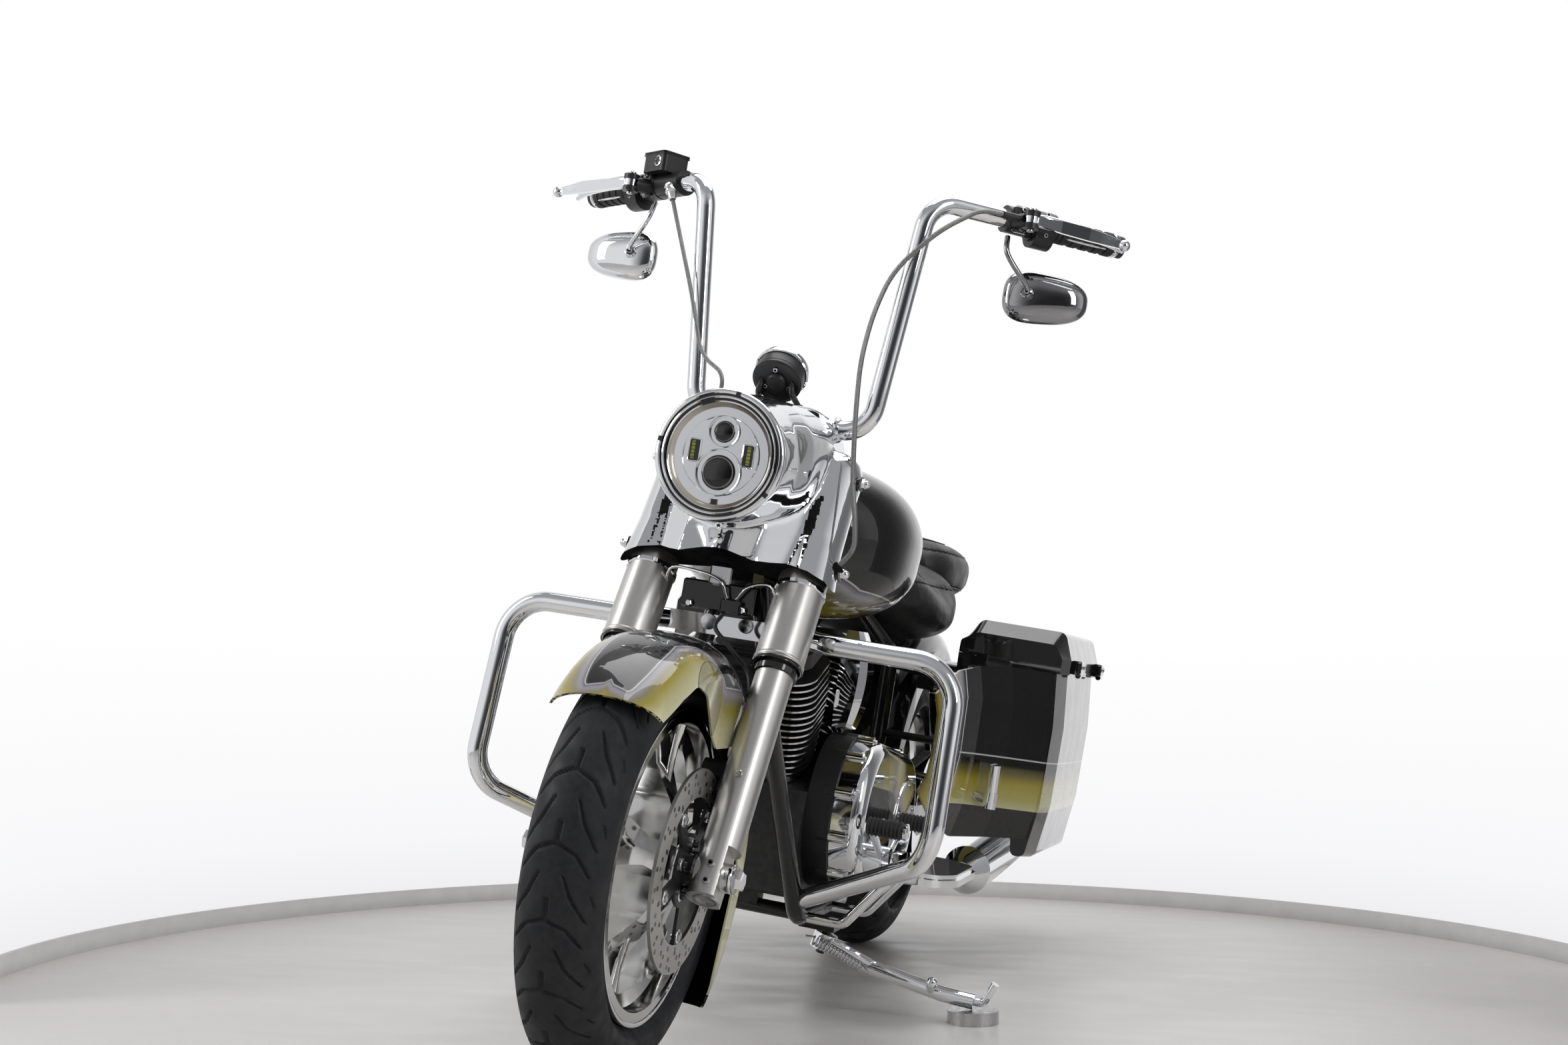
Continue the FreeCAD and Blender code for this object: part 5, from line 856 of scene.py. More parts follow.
def build_gauge():
    """The gauge's cup, its chromed rim, a blank face under glass and its screws."""
    gauge = Heap("gauge_trim", "steering", "chrome", "gloss_black", "black_plastic", "steel", "lens")
    facing = vec(0, 0.72, 0.69).normalized()
    over = facing.cross(SIDE)
    back = vec(0, 361, 1094) - facing * 18
    for slot, steps, profile in (
        (2, 56, [(30, -1.2), (38, -1.0), (41.5, 1.6), (42.4, 6)]),
        (0, 64, [(43, 25.5), (45.6, 26.4), (46.0, 31), (45.2, 35.6), (42, 37.2), (38.5, 36.2), (38, 33)]),
        (1, 56, [(38.2, 32.6), (0, 32.2)]),
        (4, 48, [(38.4, 34.4), (20, 35.4), (0, 35.8)]),
        (2, 32, [(17, -0.8), (16, -5.8), (14.5, -7.8), (0, -7.8)]),
    ):
        gauge.lathe(back, facing, profile, slot, steps)
    for x, y in ((20, 10), (-20, 10), (0, -24)):
        gauge.cap_bolt(back + SIDE * x + over * y - facing * 0.8, -facing, 4.2, 3.5, 3, 1)
    for x in (24, -24):
        gauge.hex_bolt(vec(x * 1.46, 392, 1046), vec(0, -0.7, 0.5), 9, 5, 3, 0)
    gauge.build(35)


# Nacelle


def superoval(rearward, half_width, top, bottom, squareness):
    """A squared oval across the machine."""
    middle, reach = (top + bottom) / 2, (top - bottom) / 2
    return [vec(squared(math.cos(turn), squareness) * half_width, rearward,
                middle + squared(math.sin(turn), squareness) * reach) for turn in circle(40)]


def applied(thing):
    """The object with its modifiers baked into its mesh."""
    graph = bpy.context.evaluated_depsgraph_get()
    data = bpy.data.meshes.new_from_object(thing.evaluated_get(graph), depsgraph=graph)
    thing.modifiers.clear()
    thing.data = data
    data.shade_smooth()
    return thing


def upright_of(point):
    """Upright millimetres of a point in the row's frame."""
    x, y, z = point.x + SHIFT_X, point.y + SHIFT_Y, point.z - CROWN
    return vec((x * LEAN_COS - z * LEAN_SIN) * 1000, y * 1000, (x * LEAN_SIN + z * LEAN_COS + CROWN) * 1000)


def height_on(stops, value):
    """Linear interpolation over (place, height) stops."""
    for (x0, z0), (x1, z1) in zip(stops, stops[1:]):
        if value <= x1:
            return z0 + (z1 - z0) * max(value - x0, 0) / (x1 - x0)
    return stops[-1][1]


HEM = [(0, 791), (20, 789), (60, 779), (82, 780), (104, 783), (140, 776), (166, 764), (182, 744), (200, 738)]


def hem_cutter(front, rear):
    """Everything below the nacelle's wavy lower edge."""
    curve = [(-x, z) for x, z in reversed(HEM[1:])] + HEM
    outline = [(-400, 300), (-400, curve[0][1])] + curve + [(400, curve[-1][1]), (400, 300)]
    count = len(outline)
    points = [at(x, y, z) for y in (front, rear) for x, z in outline]
    faces = [tuple(range(count)), tuple(reversed(range(count, 2 * count)))]
    for index in range(count):
        after = (index + 1) % count
        faces.append((index, after, count + after, count + index))
    thing = mesh_object("cutter", points, faces, MATERIALS["black_plastic"])
    reshape(thing.data, outward)
    return thing


def cut_away(thing, tool):
    modify(thing, "BOOLEAN", operation="DIFFERENCE", solver="EXACT", object=tool)
    applied(thing)
    bpy.data.objects.remove(tool)


def flat_back(mesh):
    """Cuts the nacelle off flat behind the fork and closes the cut."""
    cut = bmesh.ops.bisect_plane(mesh, geom=mesh.verts[:] + mesh.edges[:] + mesh.faces[:], clear_outer=True,
                                 plane_co=at(*fork_point(0, 600, 30)), plane_no=toward(*-FORK_FRONT))
    rim = [item for item in cut["geom_cut"] if isinstance(item, bmesh.types.BMEdge)]
    bmesh.ops.contextual_create(mesh, geom=rim)


def nacelle_form():
    """The lamp's barrel, the two fork covers and the saddle between them, as closed shapes."""
    form = Heap("nacelle_shell", "steering", "chrome", "shade_black")
    form.skin([superoval(*row) for row in (
        (114, 99.5, 1027.5, 828.5, 2.0), (140, 102, 1031, 828, 2.0), (180, 105, 1036, 828, 2.1),
        (234, 113, 1042, 830, 2.4), (304, 120, 1045, 832, 2.8), (414, 122, 1039, 834, 3.0),
        (436, 122, 1036, 836, 3.0))])
    for sign in (1, -1):
        form.skin([ring(fork_point(sign * FORK_SIDE, along), SIDE, FORK.cross(SIDE), radius, 36)
                   for along, radius in (
            (475, 55), (520, 50.5), (565, 46.5), (640, 45.5), (708, 45.5), (728, 40), (740, 28))])
    saddle = [(120, 28), (120, -36), (62, -82), (14, -90), (-14, -90), (-62, -82), (-120, -36), (-120, 28)]
    form.skin([[fork_point(across, along, behind) for across, behind in saddle] for along in (475, 560, 626)])
    form.skin([[fork_point(across, along, behind)
                for across, behind in ((8, -60), (0, -98 + rise), (-8, -60), (0, -30))]
               for along, rise in ((475, 0), (560, 2), (610, 24))])
    return form


def build_nacelle():
    """The form's shapes flowed into one shell, cut flat behind and along its hem."""
    thing = nacelle_form().build()
    modify(thing, "REMESH", mode="VOXEL", voxel_size=0.0036)
    modify(thing, "SMOOTH", factor=0.5, iterations=16)
    applied(thing)
    reshape(thing.data, flat_back)
    cut_away(thing, hem_cutter(-80, 520))
    data = thing.data
    down = toward(0, 0, -1)
    back = toward(*-FORK_FRONT)
    for face in data.polygons:
        middle = upright_of(face.center)
        under = abs(face.normal.dot(down)) > 0.6 and abs(middle.z - height_on(HEM, abs(middle.x))) < 3
        face.material_index = 1 if under or abs(face.normal.dot(back)) > 0.995 else 0
    data.set_sharp_from_angle(angle=math.radians(50))
    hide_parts("nacelle")


def build_nacelle_trim():
    """The nacelle's side nuts, its lower screw, the collars of the bar and the hose's grommet."""
    trim = Heap("nacelle_trim", "steering", "chrome", "gloss_black", "steel", "rubber")
    for sign in (1, -1):
        for x, y, z in ((170, 330, 930), (176, 258, 780)):
            out = vec(sign, -0.12, 0.05)
            trim.lathe(vec(sign * (x - 8), y, z), out, [(9, 0), (9.5, 6), (9.5, 9), (6, 10)], 1, 24)
            trim.dome_nut(vec(sign * (x + 1), y, z), out, 15, 0, 1)
    trim.cap_bolt(vec(0, 160, 826), vec(0, -0.9, -0.4), 5.5, 4, 0, 1)
    trim.lathe(vec(-90, 338, 1040), vec(0, 0, 1), [(9, -8), (9, 2), (7.5, 4), (5, 5)], 3, 24)
    for sign in (1, -1):
        trim.lathe(vec(sign * 98, 408, 1020), vec(sign, 0, 0.06),
                   [(16.5, -3), (21, -2), (22, 2), (20.5, 5), (16.8, 6)], 0, 32)
        trim.tube([vec(sign * 78, 220, 1030), vec(sign * 84, 300, 1036), vec(sign * 88, 392, 1034)],
                  [1.2, 2.0, 1.6], 0, 8)
    trim.build(40)


def build_fork():
    """Seals, clamps, foot screws, axle nuts and fender bosses of both legs."""
    fork = Heap("fork_fittings", "steering", "bare_alloy", "gloss_black", "chrome", "steel", "black_plastic",
                "rubber")
    for sign in (1, -1):
        def leg(along, behind=0.0, across=FORK_SIDE, sign=sign):
            return fork_point(sign * across, along, behind)

        out = SIDE * sign
        for along, slot, steps, profile in (
            (345, 1, 48, [(38.6, -1.5), (40.4, -0.8), (40.6, 3), (39.4, 5)]),
            (345, 0, 48, [(39.2, 6.5), (40.2, 8), (40.2, 10.5), (39.2, 12)]),
            (330, 1, 40, [(30.2, 0), (33.6, 1), (34.2, 10), (31, 13), (25, 14)]),
            (478, 2, 48, [(39.2, 0), (41, 1.5), (41, 8), (39.2, 9.5)]),
        ):
            fork.lathe(leg(along), FORK, profile, slot, steps)
        fork.cap_bolt(leg(-20, -28), FORK_FRONT, 5.5, 6, 3, 1)
        fork.cap_bolt(leg(6, -29.4), FORK_FRONT, 5.5, 6, 3, 1)
        fork.lathe(leg(-38), -FORK, [(21, -2), (20, 1.5), (12, 2), (7, -1), (0, -1)], 3, 32)
        nut = vec(sign * 156, 0, AXLE)
        fork.lathe(nut, out, [(20.8, -16), (21.5, -15), (21.5, -2), (20, 0), (9, 0.5)], 2, 40)
        fork.hex_bolt(nut, out, 26, 11, 2, 3)
        boss = leg(193.7, 0, 98)
        fork.lathe(boss, -out, [(10.4, -22), (12.5, -20), (13, -4), (11.5, 0), (6, 1)], 0, 28)
        fork.cap_bolt(boss - out, -out, 6.5, 6, 2, 1)
        fork.lathe(leg(150, -29), FORK_FRONT, [(6, 0), (6, 2.5), (4.5, 3.2), (3, 1.2), (0, 1.2)], 3, 20)
    fork.build(36)


def build_brake_pipes():
    """What hangs under the nacelle: a bracket, a junction and its pipes."""
    pipes = Heap("brake_pipes", "steering", "steel", "gloss_black", "chrome", "black_plastic")
    pipes.block(vec(0, 214, 716), (120, 7, 46), 1, 3)
    pipes.block(vec(26, 206, 704), (34, 20, 24), 1, 3)
    pipes.lathe(vec(-8, 209, 676), vec(0, -1, 0), [(12, -6), (13, 0), (12, 4), (8, 5.5), (0, 6)], 0, 32)
    pipes.block(vec(0, 208, 750), (34, 16, 34), 0, 4)
    for radius, slot, route in (
        (2.6, 2, [vec(34, 200, 716), vec(52, 196, 738), vec(84, 200, 744), vec(96, 214, 712),
                  vec(96, 222, 660), vec(92, 196, 600), vec(98, 150, 560)]),
        (2.6, 2, [vec(18, 200, 716), vec(4, 192, 742), vec(-44, 194, 752), vec(-84, 206, 748),
                  vec(-92, 222, 700)]),
        (3.6, 3, [vec(14, 204, 690), vec(8, 196, 668), vec(40, 190, 640), vec(78, 186, 600),
                  vec(96, 140, 520), vec(100, 96, 462)]),
    ):
        pipes.tube(route, radius, slot, 10)
    for x, z in ((44, 700), (-44, 700), (0, 640)):
        pipes.hex_bolt(vec(x, 208, z), vec(0, -1, 0), 9, 5, 2, 1)
    pipes.build(36)


# Mirrors and controls


def build_mirrors():
    """Rounded housings with their glass behind, on the stems of the hand controls."""
    turn = math.radians(12)
    across = vec(math.cos(turn), math.sin(turn), 0)
    ahead = vec(math.sin(turn), -math.cos(turn), 0)
    centre = vec(386, 550, 1301)
    half_width, half_height = 72, 43
    # Painted shade: the left housing is the same chrome as the right one, painted darker.
    for sign, side, shade, replaced in (
        (1, "left", "chrome_painted_shade", ("mirrors", )), (-1, "right", "chrome", ()),
    ):
        def on(point, sign=sign):
            return point if sign > 0 else flip(point)

        mirror = Heap("mirror_" + side, "steering", shade, "gloss_black", "mirror")
        rings = []
        for depth, size in ((-9, 0.955), (-9, 0.985), (-6, 1.0), (-1, 1.0), (5, 0.965), (11, 0.88),
                            (16, 0.74), (20, 0.55), (22, 0.34), (23, 0.12)):
            outline = []
            for angle in circle(56):
                wide = half_width * squared(math.cos(angle), 2.9)
                tall = half_height * squared(math.sin(angle), 2.7) * (1.0 - 0.16 * wide / half_width)
                outline.append(on(centre + across * wide * size + vec(0, 0, 1) * tall * size + ahead * depth))
            rings.append(outline)
        mirror.skin(rings)
        mirror.skin([[point - on(ahead) * depth for point in rings[0]] for depth in (0.6, 1.6)], 2)
        stem = [on(point) for point in (bar_point(212, 6, -30), bar_point(212, 16, -62),
                                        centre + vec(-30, -40, 14), centre + vec(-26, -25, 2))]
        mirror.tube(stem, 4.8, 0, 14)
        mirror.lathe(stem[-1], vec(sign * 0.3, 0.9, -0.2), [(8.5, -9), (10.5, -7), (11, 3), (9, 6)], 0, 28)
        mirror.cap_bolt(stem[-1] + vec(0, -8, 2), vec(-sign * 0.2, -1, 0), 5.5, 4, 0, 1)
        mirror.build(40, replaced)


def build_grips():
    """Grips, housings' seams and buttons, and the levers' blades."""
    up = vec(0, 0, 1)
    for sign, side in ((1, "left"), (-1, "right")):
        def on(point, sign=sign):
            return point if sign > 0 else flip(point)

        piece = Heap("grip_" + side, "steering", "gloss_black", "chrome", "rubber", "steel")
        run, ahead = on(BAR_RUN), on(BAR_AHEAD)
        start = on(bar_point(124))
        piece.lathe(start, run, [(16, 0), (20.5, 1), (20.5, 9), (18.5, 11), (18.6, 100), (20.8, 103),
                                 (20.8, 112), (19, 115), (12, 116)], 2, 48)
        across = run.orthogonal().normalized()
        for out in ring(vec(0, 0, 0), across, run.cross(across), 19.2, 4):
            piece.tube([start + run * reach + out for reach in (14, 40, 70, 97)], [1.2, 2.4, 2.4, 1.2], 1, 8)
        piece.lathe(on(bar_point(8)), run,
                    [(19, -2), (21.3, 0), (21.3, 5), (18, 9), (9, 10), (9, 8), (0, 8)], 1, 40)
        for reach in (-14, 14):
            piece.lathe(on(bar_point(150)) + run * reach, run, [(27.3, -0.8), (27.9, 0), (27.3, 0.8)], 0, 48)
        for rise, forward in ((19, 20), (-17, 22)):
            piece.cap_bolt(on(bar_point(150, forward, rise)), ahead, 4.2, 3.5, 3, 0)
        for inward in (162, 150, 138):
            piece.block(on(bar_point(inward, -25, 6)), (9, 6, 8), 1 if inward == 150 else 0, 1.5)
        for rise in (16, -16):
            piece.cap_bolt(on(bar_point(198, 23, rise)), ahead, 4.4, 4, 3, 0)
        piece.block(on(bar_point(198, 18, 0)), (30, 12, 46), 0, 4, (run, ahead, up))
        piece.lathe(on(bar_point(196, 52, 11)), up, [(7, 0), (7, 3), (5, 4.5), (0, 4.5)], 3, 24)
        piece.lathe(on(bar_point(196, 52, -21)), -up, [(6, 0), (6, 3), (4, 4), (0, 4)], 3, 24)
        blade = [on(bar_point(*place)) for place in (
            (196, 54, -5), (168, 60, -5), (120, 62, -6), (60, 58, -8), (14, 50, -12))]
        for rise in (6, -5):
            piece.tube([point + up * rise for point in blade], [5, 6.4, 5.6, 5.0, 4.6], 1, 12)
        piece.build(40)


def build_fluid_box():
    """The band, sight glass and banjo of the fluid box on the right."""
    box = Heap("fluid_box_fittings", "steering", "gloss_black", "steel", "chrome", "dark_glass")
    seat = flip(bar_point(234, 10, 34))
    run, front = flip(BAR_RUN), flip(BAR_AHEAD)
    box.block(seat + vec(0, 0, 13.6), (67.2, 55.2, 4), 0, 1.6, (run, front, vec(0, 0, 1)))
    sight = seat + front * 26.6 - run * 16
    box.lathe(sight, front, [(9.5, -2), (9.5, 1.5), (7.5, 2.2), (7.2, 0.6)], 2, 32)
    box.lathe(sight, front, [(7.2, 0.8), (0, 0.9)], 3, 32)
    aim = vec(0.42, -0.27, -0.865)
    banjo = flip(bar_point(282, 22, -18)) - aim * 6
    box.lathe(banjo, aim, [(9, 0), (10.5, 2), (10.5, 9), (7.5, 12), (7, 24), (5, 26)], 2, 28)
    box.hex_bolt(banjo, -aim, 14, 6, 1, 2)
    box.build(40)


# Pegs, latches, spring and screws


def build_pegs():
    """Ribbed rubbers and end caps of the two pegs on the left."""
    pegs = Heap("peg_rubbers", "chassis", "rubber", "chrome", "steel")
    ribs = [(13.8 if step % 2 else 16.6, 4 + step * 3.4) for step in range(17)]
    for y, z in ((566, 372), (852, 362)):
        pegs.lathe(vec(216, y, z), SIDE, [(8, 0), (13.5, 0.5)] + ribs + [(13.5, 62), (13.5, 66)], 0, 32)
        pegs.lathe(vec(286, y, z), SIDE, [(14.5, -5), (15, -3), (15, 1), (10, 3), (0, 3.4)], 1, 32)
    pegs.build(30)


def build_bag_latches():
    """Two latch plates with their screws on the left lid."""
    latches = Heap("bag_hardware", "lid_left", "gloss_black", "chrome", "steel")
    for y in (1372, 1790):
        latches.block(vec(447, y, 690), (10, 62, 26), 0, 3)
        for shift in (-20, 20):
            latches.cap_bolt(vec(451, y + shift, 692), SIDE, 4.6, 3, 2, 0)
    latches.build(36)


def build_spring():
    """The stand's coil spring."""
    coil = Heap("stand_spring_coil", "side_stand", "steel")
    start, end = vec(124, 630, 158), vec(244, 630, 118)
    axis = (end - start).normalized()
    side = axis.orthogonal().normalized()
    over = axis.cross(side)
    wire, coil_radius, turns, steps = 1.8, 7.0, 15, 12
    path = []
    for step in range(turns * steps + 1):
        angle = 2 * math.pi * step / steps
        reach = (end - start).length * (0.12 + 0.76 * step / (turns * steps))
        path.append(start + axis * reach + (side * math.cos(angle) + over * math.sin(angle)) * coil_radius)
    coil.tube([start] + path + [end], wire, 0, 8, 0)
    coil.build(60, ("stand_spring", ))


def build_primary_bolts():
    """The screws round both ends of the primary cover, and of its derby in the rear one."""
    bolts = Heap("primary_bolts", "chassis", "steel", "gloss_black")
    for x, y, z, spread, first, last, count, radius, height in (
        (180, 702, 374, 130, 95, 260, 6, 6.5, 6), (180, 926, 350, 128, -80, 80, 6, 6.5, 6),
        (210, 926, 350, 70, 18, 306, 5, 4.6, 2.4),
    ):
        for index in range(count):
            turn = math.radians(first + (last - first) * index / (count - 1))
            spot = vec(x, y + spread * math.cos(turn), z + spread * math.sin(turn))
            bolts.cap_bolt(spot, SIDE, radius, height, 0, 1)
    bolts.build(40)


# Front wheel's fittings


def wheel_point(x, radius, turn):
    """A point of the front wheel by its angle from straight up, turning rearward."""
    return vec(x, radius * math.sin(math.radians(turn)), AXLE + radius * math.cos(math.radians(turn)))


def build_wheel():
    """Black dots painted on the disc as the shade in its holes, the disc's carriers, the spokes' ridges, the
    rim's lips and its valve.
    """
    wheel = Heap("front_wheel_fittings", "front_wheel", "chrome", "gloss_black", "steel", "cast_alloy",
                 "rubber")
    # Painted shade: flat black dots on both faces of the disc stand for its holes.
    for index in range(60):
        radius = (113.5, 140.5, 127)[index % 3]
        for face, aim in ((84.6, 1), (79.4, -1)):
            wheel.lathe(wheel_point(face, radius, index * 6), SIDE * aim,
                        [(3.8, -0.3), (3.8, 0.25), (0, 0.25)], 1, 12)
    for turn in range(36, 360, 72):
        spot = wheel_point(85.5, 94, turn)
        wheel.lathe(spot, SIDE, [(10.5, -8), (10.5, 0.5), (9.5, 1.5), (5, 1.5)], 0, 24)
        wheel.lathe(spot, SIDE, [(7, 1.4), (7, 3.4), (5.8, 4.2), (0, 4.2)], 2, 20)
        bolt = wheel_point(86, 40, turn + 36)
        wheel.lathe(bolt, SIDE, [(9.5, -8), (9.5, 1.2), (8.5, 2), (0, 2)], 0, 24)
        wheel.cap_bolt(bolt + SIDE * 2, SIDE, 6.0, 6, 1, 2)
        for far in (1, -1):
            wheel.tube([wheel_point(far * x, radius, turn + 36) for x, radius in (
                (30, 56), (34, 120), (37, 170), (42, 206))], [7, 5, 5, 8], 3, 10, 4)
    wheel.lathe(vec(84, 0, AXLE), SIDE, [(30, -6), (30, 14), (27, 17), (20, 17.5)], 1, 40)
    for far in (1, -1):
        wheel.lathe(vec(far * 48, 0, AXLE), SIDE * far, [(229.6, -3), (230.2, 0), (229.2, 2.4), (226.5, 3.0),
                                                         (223.5, 1.6), (222.5, -1.5)], 0, 128)
        wheel.lathe(vec(far * 44, 0, AXLE), SIDE * far,
                    [(217, -4), (216.4, 0.6), (214.4, 1.2), (212.6, 0), (212, -4)], 0, 128)
    wheel.tube([wheel_point(x, radius, 18) for x, radius in ((20, 214), (26, 196), (30, 180))],
               [4, 3.6, 3.6], 4, 10)
    wheel.tube([wheel_point(30, 180, 18), wheel_point(31, 172, 18)], [2.8, 2.8], 0, 10)
    wheel.build(40)


# Seats


MOST_SWELL = 0.010
SEAM_WIDTH = 0.012
SEAM_DEPTH = 0.0035


def pressed(node, name):
    """A pad blown up by cloth pressure from a slightly smaller copy of its solid."""
    pad = bpy.data.objects.new(name, NODES[node].data.copy())
    bpy.context.scene.collection.objects.link(pad)
    centre = sum((Vector(corner) for corner in pad.bound_box), Vector()) / 8
    pad.data.transform(Matrix.Translation(centre) @ Matrix.Scale(0.985, 4) @ Matrix.Translation(-centre))
    modify(pad, "REMESH", mode="VOXEL", voxel_size=0.006)
    applied(pad)
    rest = [vertex.co.copy() for vertex in pad.data.vertices]
    cloth = modify(pad, "CLOTH")
    cloth.settings.use_pressure = True
    cloth.settings.uniform_pressure_force = 3.0
    cloth.settings.effector_weights.gravity = 0
    cloth.settings.quality = 5
    cloth.settings.tension_stiffness = 12
    cloth.settings.compression_stiffness = 12
    cloth.point_cache.frame_start = 1
    cloth.point_cache.frame_end = 20
    for step in range(1, 21):
        bpy.context.scene.frame_set(step)
    applied(pad)
    bpy.context.scene.frame_set(1)
    for vertex, start in zip(pad.data.vertices, rest):
        moved = vertex.co - start
        if moved.length > MOST_SWELL:
            vertex.co = start + moved.normalized() * MOST_SWELL
    modify(pad, "SMOOTH", factor=0.5, iterations=6)
    applied(pad)
    return pad


def seam(tree, rays):
    """The points where the rays meet the pad."""
    hits = [tree.ray_cast(start, (aim - start).normalized())[0] for start, aim in rays]
    return [hit for hit in hits if hit is not None]


def seam_lines(pad, levels, rings):
    """Seams round the pad's sides at some levels, and ovals on its top."""
    tree = BVHTree.FromPolygons([vertex.co for vertex in pad.data.vertices],
                                [list(face.vertices) for face in pad.data.polygons])
    lines = []
    for y, z, half_x, half_y in levels:
        lines.append(seam(tree, [(at(half_x * 1.5 * math.cos(turn), y + half_y * 1.5 * math.sin(turn), z),
                                  at(0, y + half_y * 0.4 * math.sin(turn), z)) for turn in circle(72)]))
    for y, half_x, half_y in rings:
        lines.append(seam(tree, [(at(half_x * math.cos(turn), y + half_y * math.sin(turn), 1000),
                                  at(half_x * math.cos(turn), y + half_y * math.sin(turn), 700))
                                 for turn in circle(72)]))
    return lines


def sink_along(pad, lines):
    """Draws the pad's surface in along the lines."""
    middles = [(a + b) / 2 for line in lines for a, b in zip(line, line[1:] + line[:1])]
    tree = KDTree(len(middles))
    for index, middle in enumerate(middles):
        tree.insert(middle, index)
    tree.balance()
    for vertex in pad.data.vertices:
        reach = tree.find(vertex.co)[2]
        if reach < SEAM_WIDTH:
            vertex.co -= vertex.normal * SEAM_DEPTH * (1 - reach / SEAM_WIDTH) ** 2


def build_seats():
    for node, name, levels, rings in (
        ("rider_seat", "rider_cushion", ((1170, 812, 238, 190), ), ((1170, 88, 92), (1170, 128, 130))),
        ("pillion_seat", "pillion_cushion", ((1500, 893, 190, 220), (1500, 820, 190, 220)),
         ((1500, 96, 108), )),
    ):
        pad = pressed(node, name)
        lines = seam_lines(pad, levels, rings)
        modify(pad, "SUBSURF", levels=1, render_levels=1)
        applied(pad)
        sink_along(pad, lines)
        pad.data.materials.clear()
        pad.data.materials.append(MATERIALS["seat_cover"])
        pad.data.shade_smooth()
        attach(pad, "chassis")
        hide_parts(node)
        piping = Heap(name + "_piping", "chassis", "seat_cover")
        for line in lines:
            path = [upright_of(point) for point in line]
            piping.tube(path + path[:1], 1.5, 0, 6, 0)
        piping.build(60, slot="seat_cover")


# Studio


ROOM_CENTRE = Vector((-0.109, 0.209))
ROOM_RADIUS = 1.596
SKIRT_HEIGHT = 0.041


def floor_material():
    s = Shader("studio_floor")
    streak = s.noise(5, 3.0, 0.45, (1, 2.4, 1))
    tone = s.math("ADD", s.math("MULTIPLY", s.noise(0.9, 3.0, 0.4), 0.85), s.math("MULTIPLY", streak, 0.15))
    s.set(Base_Color=s.ramp(tone, [(0.3, (0.47, 0.455, 0.435)), (0.7, (0.56, 0.545, 0.525))]),
          Roughness=s.span(streak, 0.3, 0.7, 0.30, 0.40), Specular_IOR_Level=0.4)
    s.bump(s.noise(30, 2.0), 0.015, 0.002)
    return s.material


def wall_material():
    """A white wall, darker towards the floor as painted shade, that dims towards its sides for all rays but
    the camera's.
    """
    s = Shader("studio_wall")
    s.set(Base_Color=(0.9, 0.9, 0.905), Roughness=0.8)
    path = s.add("LightPath")
    seen = s.math("MAXIMUM", path.outputs["Is Camera Ray"], path.outputs["Is Glossy Ray"])
    seen = s.math("MAXIMUM", seen, path.outputs["Is Transmission Ray"])
    x, _, z = s.split(s.object_coords())
    # Painted shade: the wall's tone darkens towards the floor.
    tone = s.ramp(s.span(z, 0.0, 0.7, smooth=False),
                  [(0.0, (0.84, 0.84, 0.86)), (0.25, (0.93, 0.93, 0.945)), (1.0, (1.0, 1.0, 1.0))])
    aside = s.math("SUBTRACT", x, ROOM_CENTRE.x)
    aside = s.math("MAXIMUM", aside, s.math("MULTIPLY", aside, -0.6))
    fall = s.ramp(s.span(aside, 0.0, ROOM_RADIUS, smooth=False), [
        (0.0, (1, 1, 1)), (0.5, (0.9, 0.9, 0.9)), (0.8, (0.34, 0.34, 0.345)), (1.0, (0.16, 0.16, 0.165))])
    dimmed = s.mix(1.0, tone, fall, "MULTIPLY")
    shine = s.add("Emission")
    s.feed(shine.inputs["Color"], s.mix(path.outputs["Is Camera Ray"], dimmed, tone))
    one_sided(s, s.blend(seen, s.surface.outputs[0], shine.outputs[0]))
    return s.material


def one_sided(s, surface):
    """The room is seen from inside only, so that it never hides the machine from outside."""
    backface = s.add("NewGeometry").outputs["Backfacing"]
    s.feed(s.output.inputs["Surface"], s.blend(backface, surface, s.add("BsdfTransparent").outputs[0]))


def skirting_material():
    s = Shader("studio_skirting")
    s.set(Base_Color=s.ramp(s.noise(20), [(0.3, (0.50, 0.49, 0.485)), (0.7, (0.54, 0.53, 0.52))]),
          Roughness=0.5)
    one_sided(s, s.surface.outputs[0])
    return s.material


def build_studio():
    """A flat floor and a round wall over a low skirting, behind the machine."""
    half = 7.0
    mesh_object("floor", [(-half, -half, 0), (half, -half, 0), (half, half, 0), (-half, half, 0)],
                         [(0, 1, 2, 3)], floor_material())
    thick = 0.012
    low, high = (0, SKIRT_HEIGHT), (thick, SKIRT_HEIGHT)
    steps = 96
    for name, edge, material in (
        ("skirting", ((0, 0), low, high), skirting_material()),
        ("wall", ((thick, 0), (thick, 3.4)), wall_material()),
    ):
        points = []
        for step in range(steps + 1):
            turn = math.radians(-18 + 228 * step / steps)
            points += [(ROOM_CENTRE.x + (ROOM_RADIUS + out) * math.cos(turn),
                        ROOM_CENTRE.y + (ROOM_RADIUS + out) * math.sin(turn), z) for out, z in edge]
        width = len(edge)
        faces = [(a, a + 1, a + width + 1, a + width)
                 for step in range(steps) for a in range(step * width, step * width + width - 1)]
        mesh_object(name, points, faces, material)


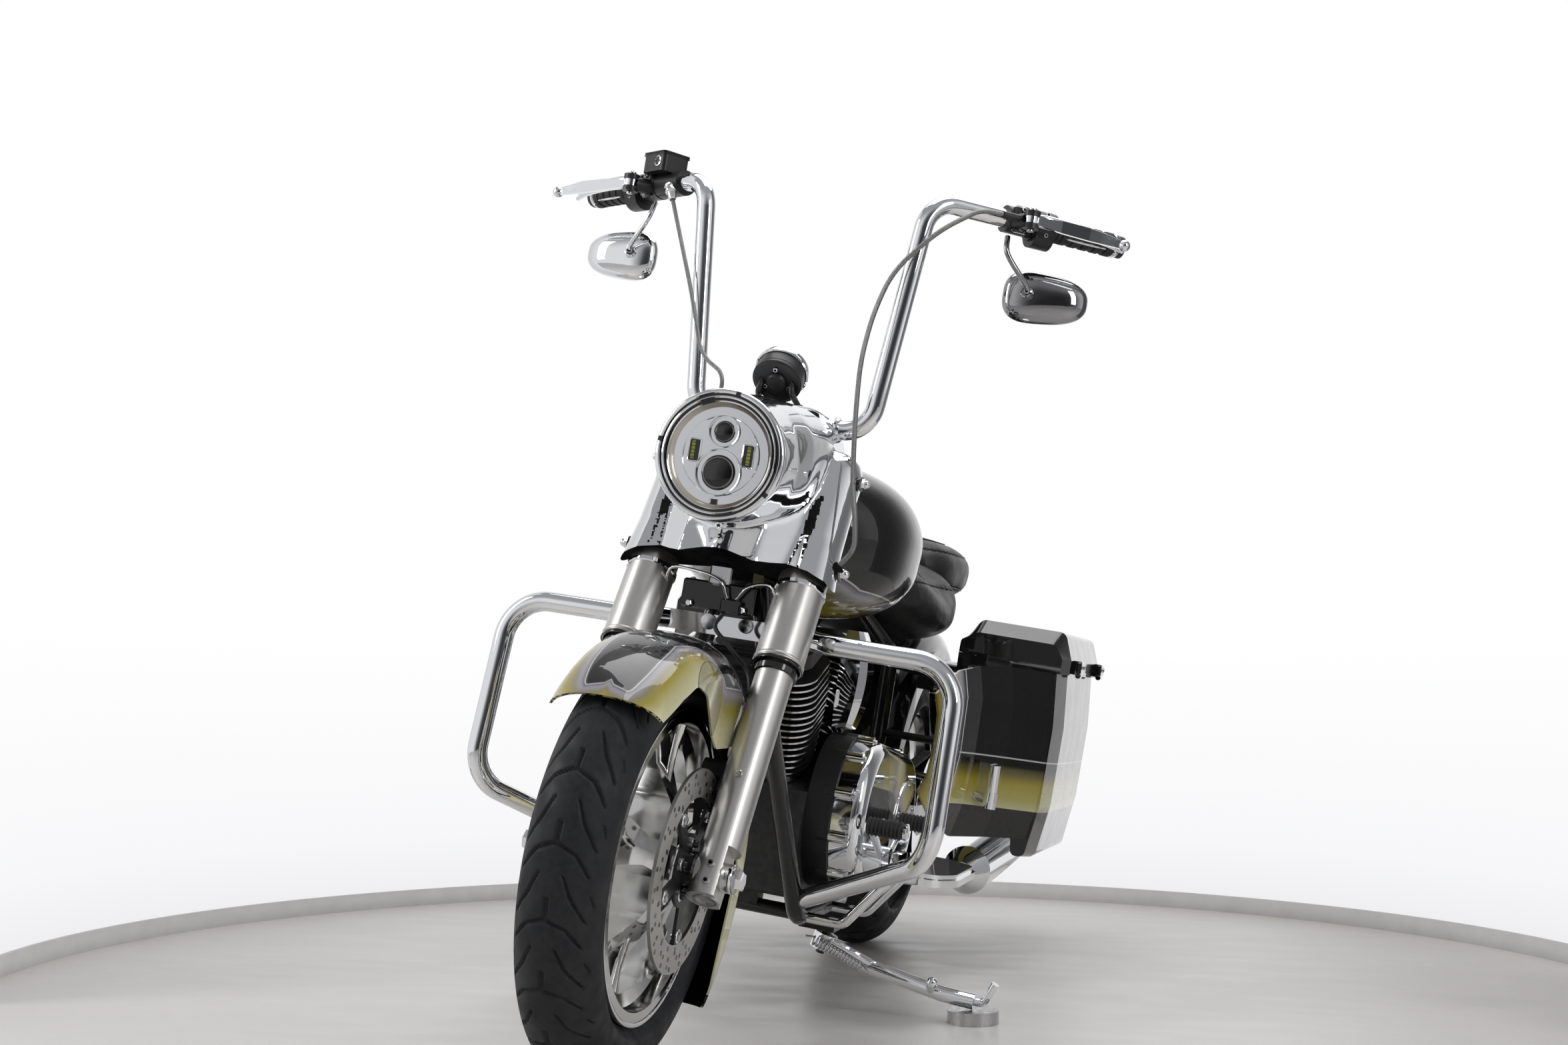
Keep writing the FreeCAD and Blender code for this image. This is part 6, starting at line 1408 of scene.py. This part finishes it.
def build_world():
    """A studio sky: darker ahead of the machine and overhead in the mirrored light."""
    world = bpy.data.worlds.new("studio")
    bpy.context.scene.world = world
    tree = Tree(world)
    background = tree.nodes["Background"]
    background.inputs["Strength"].default_value = 0.85
    place = tree.add("TexCoord").outputs["Generated"]
    front = tree.vector("DOT_PRODUCT", place, Vector((0.42, -0.90, -0.08)).normalized())
    sky = tree.ramp(front, [(0.60, (0.95, 0.95, 0.96)), (0.80, (0.45, 0.45, 0.46)),
                            (0.91, (0.12, 0.12, 0.125)), (0.98, (0.05, 0.05, 0.055))])
    overhead = tree.ramp(tree.split(place)[2], [(0.42, (1, 1, 1)), (0.74, (0.42, 0.42, 0.43))])
    mirrored = tree.mix(1.0, sky, overhead, "MULTIPLY")
    soft = tree.mix(0.7, sky, (0.9, 0.9, 0.91))
    path = tree.add("LightPath")
    tree.feed(background.inputs["Color"], tree.mix(path.outputs["Is Glossy Ray"], soft, mirrored))
    white = tree.add("Background", Color=(1, 1, 1, 1))
    tree.feed(tree.nodes["World Output"].inputs["Surface"],
              tree.blend(path.outputs["Is Camera Ray"], background.outputs[0], white.outputs[0]))


def build_lights():
    for name, place, aim, width, height, power in (
        ("top_light", (0.3, 0.3, 3.3), (0, 0, 0.4), 2.0, 2.4, 44),
        ("left_light", (2.4, -1.9, 1.9), (0, -0.2, 0.7), 0.5, 1.6, 16),
        ("right_light", (-2.4, -1.4, 2.2), (0, 0, 0.7), 0.6, 1.8, 24),
    ):
        data = bpy.data.lights.new(name, "AREA")
        data.shape = "RECTANGLE"
        data.size = width
        data.size_y = height
        data.energy = power
        lamp = bpy.data.objects.new(name, data)
        bpy.context.scene.collection.objects.link(lamp)
        lamp.location = place
        lamp.rotation_euler = (Vector(aim) - Vector(place)).to_track_quat("-Z", "Y").to_euler()
    bpy.context.scene.view_settings.view_transform = "Standard"


place_camera()
dress_nodes()
build_tyres()
build_headlamp()
build_gauge()
build_nacelle()
build_nacelle_trim()
build_fork()
build_brake_pipes()
build_wheel()
build_mirrors()
build_grips()
build_fluid_box()
build_pegs()
build_bag_latches()
build_spring()
build_primary_bolts()
build_seats()
build_studio()
build_world()
build_lights()
